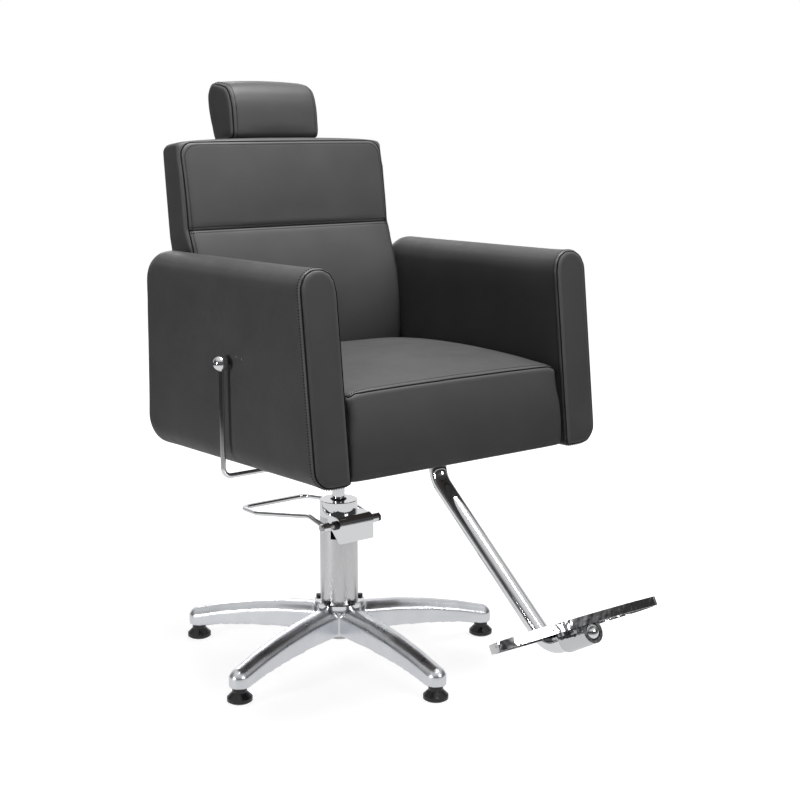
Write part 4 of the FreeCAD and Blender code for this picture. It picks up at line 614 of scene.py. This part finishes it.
CUSHIONS = {
    "seat_cushion": {
        "frame": UPRIGHT, "hull": False, "body": "seat", "soften": 1, "shrink": 2.5, "cap": 4.0,
        "fill": 0.7,
        "hidden": lambda p, n: (p[:, 2] < 0.5365) & (p[:, 1] > -0.3545) | (n[:, 2] < -0.7),
        "seams": {
            "welts": [seam(seat_rim(0, 0, 624))],
            "stitches": [seam(seat_rim(9, 15, 680), FROM_TOP)],
        },
    },
    "right_arm_rest": {
        "frame": SHEARED, "hull": True, "body": "seat", "soften": 1, "shrink": -0.8, "cap": 2.0,
        "front_cap": 6.0, "fill": 0.8, "hidden": lambda p, n: (n[:, 0] > 0.8) & (p[:, 2] < 0.60),
        "seams": arm_seams(-1),
    },
    "left_arm_rest": {
        "frame": SHEARED, "hull": True, "body": "seat", "soften": 1, "shrink": -0.8, "cap": 2.0,
        "front_cap": 6.0, "fill": 0.8, "hidden": lambda p, n: (n[:, 0] < -0.8) & (p[:, 2] < 0.60),
        "seams": arm_seams(1),
    },
    "back_cushion": {
        "frame": LEANING, "hull": False, "body": "backrest", "soften": 1, "shrink": 0.8,
        "cap": 6.5, "fill": 0.6,
        "hidden": lambda p, n: (p[:, 1] > 0.005) & (np.abs(p[:, 0]) < 0.231) & (p[:, 2] < 0.450)
        | (p[:, 1] > 0.036),
        "seams": {
            "welts": [seam(back_rim(4, -150), FROM_FRONT, closed=True),
                      seam([(-236, -150, 303), (236, -150, 303)], FROM_FRONT)],
            "stitches": [seam([(-232, -150, 308.2), (232, -150, 308.2)], FROM_FRONT),
                         seam([(-232, -150, 297.8), (232, -150, 297.8)], FROM_FRONT),
                         seam(back_rim(10.5, -150), FROM_FRONT, closed=True)],
        },
    },
    "headrest_pad": {
        "frame": LEANING, "hull": True, "body": "headrest", "soften": 2, "shrink": 0.5,
        "cap": 4.0, "fill": 0.7, "hidden": lambda p, n: p[:, 2] < 0.4825,
        "seams": {
            "welts": [seam(head_ring(-100), TO_MIDDLE, True),
                      seam(head_ring(100), TO_MIDDLE, True)],
            "stitches": [seam(head_ring(-92), TO_MIDDLE, True),
                         seam(head_ring(92), TO_MIDDLE, True)],
        },
    },
    "back_rear_panel": {
        "frame": LEANING, "hull": False, "body": "backrest", "soften": 1, "shrink": 0.5,
        "cap": 1.5, "fill": 0.9, "hidden": lambda p, n: n[:, 1] < -0.5,
        "seams": {"welts": [seam(panel_rim(), FROM_REAR, True)], "stitches": []},
    },
}
print("cushions:", ", ".join(CUSHIONS))

# %% [markdown]
# ## Cushions: stuffing
# The form is drawn in or let out a little, its seams and its hidden faces are pinned, and a
# short cloth simulation blows it up, so that each panel swells between its seams. A cap
# limits how far a point may move.

# %% Stuff the cushions
PIN_REACH = 6.5 * MM
FRAMES = 20
PRESSURE = 4.0
HIDDEN_SHRINK = 0.4


def snapped(chain, tree):
    """The points of a seam on the cover, with the cover's directions there."""
    places, ways = [], []
    for point in chain["points"]:
        start = Vector(point) * MM
        if chain["aim"] is None:
            spot = tree.find_nearest(start)
        elif chain["aim"] == TO_MIDDLE:
            middle = Vector((start.x, HEAD_MIDDLE[0] * MM, HEAD_MIDDLE[1] * MM))
            spot = tree.ray_cast(start, middle - start)
        else:
            spot = tree.ray_cast(start, Vector(chain["aim"]))
        if spot[0] is not None:
            places.append(spot[0])
            ways.append(spot[1])
    places, ways = np.array(places), np.array(ways)
    for _ in range(6):
        ways = smoothed(ways, chain["closed"])
    for _ in range(3):
        places = smoothed(places, chain["closed"])
    ways /= np.linalg.norm(ways, axis=1)[:, None]
    return places, ways


def smoothed(values, closed):
    """Averages a chain with its neighbours, with open ends kept."""
    before = np.roll(values, 1, axis=0)
    after = np.roll(values, -1, axis=0)
    result = (before + values * 2 + after) / 4
    if not closed:
        result[0], result[-1] = values[0], values[-1]
    return result


def tree_of(mesh):
    return BVHTree.FromPolygons([v.co.copy() for v in mesh.vertices],
                                [tuple(p.vertices) for p in mesh.polygons])


def distances(points, chains):
    """Distance from each point to the nearest point of some chains."""
    total = sum(len(c) for c in chains)
    if total == 0:
        return np.full(len(points), 1.0)
    lookup = KDTree(total)
    for index, spot in enumerate(np.vstack(chains)):
        lookup.insert(Vector(spot), index)
    lookup.balance()
    return np.array([lookup.find(p)[2] for p in points])


def even_out(mesh, values, fixed, times=30):
    """Averages a movement over neighbouring points, with some points kept still."""
    ends = np.empty(len(mesh.edges) * 2, int)
    mesh.edges.foreach_get("vertices", ends)
    pairs = ends.reshape(-1, 2)
    others = pairs[:, ::-1].ravel()
    count = np.maximum(np.bincount(ends, minlength=len(values)), 1)
    result = values.copy()
    for _ in range(times):
        for axis in range(3):
            total = np.bincount(ends, result[others, axis], len(values))
            result[:, axis] = (result[:, axis] + total / count) / 2
        result[fixed] = values[fixed]
    return result


ABOVE_ARMS = 0.262
BACK_SIDES_OUT = 2.8 * MM


def bowed_top(points):
    """Lowers the corners of the back's top edge and lets its sides out above the arms."""
    points[:, 2] += bow_of_top(points[:, 0] / MM, points[:, 2] / MM) * MM
    above = np.clip((points[:, 2] - ABOVE_ARMS) / 0.03, 0, 1)
    outer = np.clip((np.abs(points[:, 0]) - 0.18) / 0.06, 0, 1)
    points[:, 0] += np.sign(points[:, 0]) * BACK_SIDES_OUT * above * outer


def full_head(points):
    """Fills the headrest out in its middle and along its front top edge."""
    out_y, out_z = (points[:, 1] - HEAD_MIDDLE[0] * MM, points[:, 2] - HEAD_MIDDLE[1] * MM)
    reach = np.hypot(out_y, out_z) + 1e-9
    angle = np.degrees(np.arctan2(out_z, out_y))
    grow = 3.5 * np.clip(1 - (points[:, 0] / 0.105) ** 2, 0, 1)
    grow += 4.5 * np.exp(-((angle - 129) / 26) ** 2) - 2.0 * np.exp(-((angle - 50) / 26) ** 2)
    grow *= np.clip((points[:, 2] - 0.485) / 0.02, 0, 1) * np.clip(reach / 0.045, 0, 1) * MM
    points[:, 1] += out_y / reach * grow
    points[:, 2] += out_z / reach * grow


def slack_corners(points):
    """Draws the seat's sides in behind its front corners, where the cover hangs slack."""
    height = np.exp(-((points[:, 2] - 0.578) / 0.030) ** 2)
    depth = 1 / (1 + np.exp((points[:, 1] + 0.335) / 0.008))
    side = 1 / (1 + np.exp((0.232 - np.abs(points[:, 0])) / 0.004))
    points[:, 0] -= np.sign(points[:, 0]) * 6.0 * MM * height * depth * side


SHAPES = {"seat_cushion": slack_corners, "back_cushion": bowed_top, "headrest_pad": full_head}
pads = {}
for name, plan in CUSHIONS.items():
    solid = outside(name, plan["frame"], plan["hull"])
    pad = remeshed(name.replace("_", ""), solid, VOXEL, plan["soften"])
    mesh = pad.data
    points, normals = points_of(mesh), normals_of(mesh)
    tree = tree_of(mesh)
    chains = [snapped(s, tree)[0] for s in plan["seams"]["welts"]]
    pinned = distances(points, chains) < PIN_REACH
    hidden = plan["hidden"](points, normals)
    shrink = np.where(hidden, HIDDEN_SHRINK, plan["shrink"]) * MM
    points -= normals * shrink[:, None]
    if name in SHAPES:
        SHAPES[name](points)
    move_points(mesh, points)
    group = pad.vertex_groups.new(name="Held")
    group.add([int(i) for i in np.nonzero(pinned | hidden)[0]], 1.0, "REPLACE")
    pads[name] = (pad, points, normals, pinned | hidden)
    print(name, "points:", len(points), "held:", int((pinned | hidden).sum()))

for pad, *_ in pads.values():
    cloth = pad.modifiers.new("Cloth", "CLOTH")
    cloth.settings.quality = 4
    cloth.settings.vertex_group_mass = "Held"
    cloth.settings.use_pressure = True
    cloth.settings.uniform_pressure_force = PRESSURE
    cloth.settings.effector_weights.gravity = 0
    cloth.collision_settings.use_collision = False
    cloth.collision_settings.use_self_collision = False
for number in range(1, FRAMES + 1):
    bpy.context.scene.frame_set(number)
    bpy.context.view_layer.update()

swollen = {}
for name, (pad, points, normals, held) in pads.items():
    plan = CUSHIONS[name]
    grown = points_of(evaluated(pad))
    swollen[name] = grown
for name, (pad, points, normals, held) in pads.items():
    plan = CUSHIONS[name]
    pad.modifiers.clear()
    cap = np.where(normals[:, 1] < -0.7, plan.get("front_cap", plan["cap"]), plan["cap"]) * MM
    shift = swollen[name] - points
    length = np.linalg.norm(shift, axis=1) + 1e-9
    shift *= (cap * np.tanh(length / cap) / length)[:, None]
    shift = even_out(pad.data, shift, held)
    move_points(pad.data, points + shift)
    print(name, "swelled up to", round(float(length.max()) * 1000, 1), "mm, kept",
          round(float(np.linalg.norm(shift, axis=1).max()) * 1000, 1), "mm")
bpy.context.scene.frame_set(1)

# %% [markdown]
# ## Cushions: finishing
# One subdivision smooths the cover. A groove is pressed in along each seam, and each
# point keeps its distance to the seam, which the leatherette uses for painted shade in the
# groove and a painted highlight on the rolled edge beside it.

# %% Subdivide the cushions and press the seams in
GROOVE_DEPTH = 1.5 * MM
GROOVE_REACH = 3.2 * MM
ROW_DEPTH = 0.25 * MM
ROW_REACH = 2.0 * MM


def cover(name, plan, pad):
    """Subdivides a cushion and presses its seams in; gives the seams' places."""
    levels = pad.modifiers.new("Smooth", "SUBSURF")
    levels.levels = levels.render_levels = 0 if name == "back_rear_panel" else 1
    mesh = evaluated(pad)
    pad.modifiers.clear()
    pad.data = mesh
    tree = tree_of(mesh)
    welts = [snapped(s, tree) for s in plan["seams"]["welts"]]
    rows = [snapped(s, tree) for s in plan["seams"]["stitches"]]
    points, normals = points_of(mesh), normals_of(mesh)
    to_seam = distances(points, [w[0] for w in welts])
    to_row = distances(points, [r[0] for r in rows])
    depth = GROOVE_DEPTH * np.exp(-(to_seam / GROOVE_REACH) ** 2)
    depth += ROW_DEPTH * np.exp(-(to_row / ROW_REACH) ** 2)
    move_points(mesh, points - normals * depth[:, None])
    # Each point keeps its distance to the seam, which the leatherette reads for painted shade in
    # the groove and a painted highlight beside it.
    layer = mesh.attributes.new("seam", "FLOAT", "POINT")
    layer.data.foreach_set("value", np.minimum(to_seam, SEAM_SPAN).astype(np.float32))
    return welts, rows


sewn = {name: cover(name, CUSHIONS[name], pads[name][0]) for name in CUSHIONS}
for name, (pad, *_) in pads.items():
    print(name, "faces:", len(pad.data.polygons))

# %% [markdown]
# ## Welts and stitches
# Geometry Nodes make both from the seam's points. A welt is a thin tube along the seam.
# A row of stitches is one small bead, copied along the row at an even pitch and turned
# to follow it. Both trees end in real mesh with their material set.

# %% Build the trees for welts and stitches
WELT_RADIUS = 1.1 * MM
STITCH_RADIUS = 1.1 * MM
STITCH_LENGTH = 2.8 * MM
STITCH_PITCH = 5.0 * MM


def socket(tree, name, kind, value=None, way="INPUT"):
    """A named input or output of a Geometry Nodes tree."""
    item = tree.interface.new_socket(name=name, in_out=way, socket_type=kind)
    if value is not None:
        item.default_value = value
    return item.identifier


def new_tree(name):
    tree = bpy.data.node_groups.new(name, "GeometryNodeTree")
    socket(tree, "Geometry", "NodeSocketGeometry")
    socket(tree, "Geometry", "NodeSocketGeometry", way="OUTPUT")
    return tree, tree.nodes.new("NodeGroupInput"), tree.nodes.new("NodeGroupOutput")


def chain_nodes(tree, *links):
    """Links sockets by their names."""
    for start, out_name, end, in_name in links:
        tree.links.new(start.outputs[out_name], end.inputs[in_name])


welt_tree, given, result = new_tree("Welt")
WELT_INPUT = socket(welt_tree, "Radius", "NodeSocketFloat", WELT_RADIUS)
WELT_PAINT = socket(welt_tree, "Material", "NodeSocketMaterial")
ring = welt_tree.nodes.new("GeometryNodeCurvePrimitiveCircle")
ring.inputs["Resolution"].default_value = 8
sweep = welt_tree.nodes.new("GeometryNodeCurveToMesh")
sweep.inputs["Fill Caps"].default_value = True
paint = welt_tree.nodes.new("GeometryNodeSetMaterial")
soft = welt_tree.nodes.new("GeometryNodeSetShadeSmooth")
chain_nodes(
    welt_tree, (given, "Radius", ring, "Radius"), (given, "Geometry", sweep, "Curve"),
    (ring, "Curve", sweep, "Profile Curve"), (sweep, "Mesh", soft, "Geometry"),
    (soft, "Geometry", paint, "Geometry"), (given, "Material", paint, "Material"),
    (paint, "Geometry", result, "Geometry"))

row_tree, given, result = new_tree("Stitches")
ROW_PITCH = socket(row_tree, "Pitch", "NodeSocketFloat", STITCH_PITCH)
ROW_PAINT = socket(row_tree, "Material", "NodeSocketMaterial")
spread_out = row_tree.nodes.new("GeometryNodeResampleCurve")
spread_out.mode = "LENGTH"
bead = row_tree.nodes.new("GeometryNodeMeshUVSphere")
bead.inputs["Segments"].default_value = 6
bead.inputs["Rings"].default_value = 5
bead.inputs["Radius"].default_value = 1.0
shape = row_tree.nodes.new("GeometryNodeTransform")
shape.inputs["Scale"].default_value = (STITCH_RADIUS, STITCH_RADIUS, STITCH_LENGTH / 2)
copies = row_tree.nodes.new("GeometryNodeInstanceOnPoints")
along = row_tree.nodes.new("GeometryNodeInputTangent")
facing = row_tree.nodes.new("FunctionNodeAlignRotationToVector")
facing.axis = "Z"
real = row_tree.nodes.new("GeometryNodeRealizeInstances")
soft = row_tree.nodes.new("GeometryNodeSetShadeSmooth")
paint = row_tree.nodes.new("GeometryNodeSetMaterial")
chain_nodes(
    row_tree, (given, "Geometry", spread_out, "Curve"), (given, "Pitch", spread_out, "Length"),
    (spread_out, "Curve", copies, "Points"), (bead, "Mesh", shape, "Geometry"),
    (shape, "Geometry", copies, "Instance"), (along, "Tangent", facing, "Vector"),
    (facing, "Rotation", copies, "Rotation"), (copies, "Instances", real, "Geometry"),
    (real, "Geometry", soft, "Geometry"), (soft, "Geometry", paint, "Geometry"),
    (given, "Material", paint, "Material"), (paint, "Geometry", result, "Geometry"))


def sewn_piece(name, chains, sink, tree, settings, plan):
    """Runs a tree along some chains and gives a plain mesh object."""
    curve = bpy.data.curves.new(name, "CURVE")
    curve.dimensions = "3D"
    for (places, ways), source in chains:
        spline = curve.splines.new("POLY")
        spline.points.add(len(places) - 1)
        spots = places - ways * sink
        flat = np.column_stack([spots, np.ones(len(spots))])
        spline.points.foreach_set("co", flat.ravel())
        spline.use_cyclic_u = source["closed"]
    runner = in_scene(name, curve)
    modifier = runner.modifiers.new("Sewing", "NODES")
    modifier.node_group = tree
    for key, value in settings.items():
        modifier[key] = value
    runner.update_tag()
    mesh = evaluated(runner)
    bpy.data.objects.remove(runner)
    mesh.transform(plan["frame"])
    mesh.update()
    piece = in_scene(name, mesh)
    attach(piece, plan["body"])
    return piece


for name, (welts, rows) in sewn.items():
    plan = CUSHIONS[name]
    pad = pads[name][0]
    pad.data.transform(plan["frame"])
    pad.data.update()
    pad.data.shade_smooth()
    pad.data.materials.clear()
    pad.data.materials.append(FINISHES["Leatherette"])
    pad.name = name + "_cover"
    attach(pad, plan["body"])
    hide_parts(name)
    piece = sewn_piece(
        name + "_welt", list(zip(welts, plan["seams"]["welts"])), GROOVE_DEPTH * 0.8, welt_tree,
        {WELT_INPUT: WELT_RADIUS, WELT_PAINT: FINISHES["Welt"]}, plan)
    count = len(piece.data.polygons)
    if rows:
        piece = sewn_piece(
            name + "_stitches", list(zip(rows, plan["seams"]["stitches"])), 0,
            row_tree, {ROW_PITCH: STITCH_PITCH, ROW_PAINT: FINISHES["Thread"]}, plan)
        count += len(piece.data.polygons)
    print(name, "sewing faces:", count)

# %% [markdown]
# ## Finish the CAD pieces
# A CAD node arrives as loose triangles. A small Geometry Nodes tree welds them and marks
# the edges that are sharper than a set angle, so that tubes and castings shade smoothly
# and their edges stay crisp. The star base is remeshed and eased as well, because a
# casting has no sharp edge. The nodes' own meshes aren't touched.

# %% Weld, smooth and paint the CAD pieces
SLOT_FINISH = {
    "aluminium_cast": "PolishedCasting", "glide_black": "GlossBlack", "zinc_steel": "ZincSteel",
    "satin_steel": "BrushedTube", "chrome": "Chrome", "black_oxide": "PowderBlack",
    "bronze": "Bronze", "seal_rubber": "SealRubber", "plywood": "Plywood",
    "upholstery": "Leatherette",
}
NODE_FINISH = {"footrest_tread": "CastChrome"}
SHARP_ANGLE = math.radians(32)
CASTING_VOXEL = 2.5 * MM
CASTING_ROUNDS = 14

smoother, given, result = new_tree("Weld and smooth")
socket(smoother, "Sharp angle", "NodeSocketFloat", SHARP_ANGLE)
socket(smoother, "Weld reach", "NodeSocketFloat", WELD_REACH)
weld = smoother.nodes.new("GeometryNodeMergeByDistance")
flat = smoother.nodes.new("GeometryNodeSetShadeSmooth")
edges = smoother.nodes.new("GeometryNodeSetShadeSmooth")
edges.domain = "EDGE"
angle = smoother.nodes.new("GeometryNodeInputMeshEdgeAngle")
below = smoother.nodes.new("FunctionNodeCompare")
below.operation = "LESS_THAN"
chain_nodes(
    smoother, (given, "Geometry", weld, "Geometry"), (given, "Weld reach", weld, "Distance"),
    (weld, "Geometry", flat, "Geometry"), (flat, "Geometry", edges, "Geometry"),
    (angle, "Unsigned Angle", below, "A"), (given, "Sharp angle", below, "B"),
    (below, "Result", edges, "Shade Smooth"), (edges, "Geometry", result, "Geometry"))

for entry in frame["record"]["subparts"]:
    if entry["node"] in CUSHIONS:
        continue
    node = NODES[entry["node"]]
    node.data.materials.clear()
    paint_name = NODE_FINISH.get(entry["node"], SLOT_FINISH[entry["material_slot"]])
    node.data.materials.append(FINISHES[paint_name])
    node.modifiers.new("Weld and smooth", "NODES").node_group = smoother
    if entry["node"] == "star_base":
        voxels = node.modifiers.new("Cast", "REMESH")
        voxels.mode = "VOXEL"
        voxels.voxel_size = CASTING_VOXEL
        voxels.use_smooth_shade = True
        eased = node.modifiers.new("Eased edges", "SMOOTH")
        eased.factor = 0.5
        eased.iterations = CASTING_ROUNDS
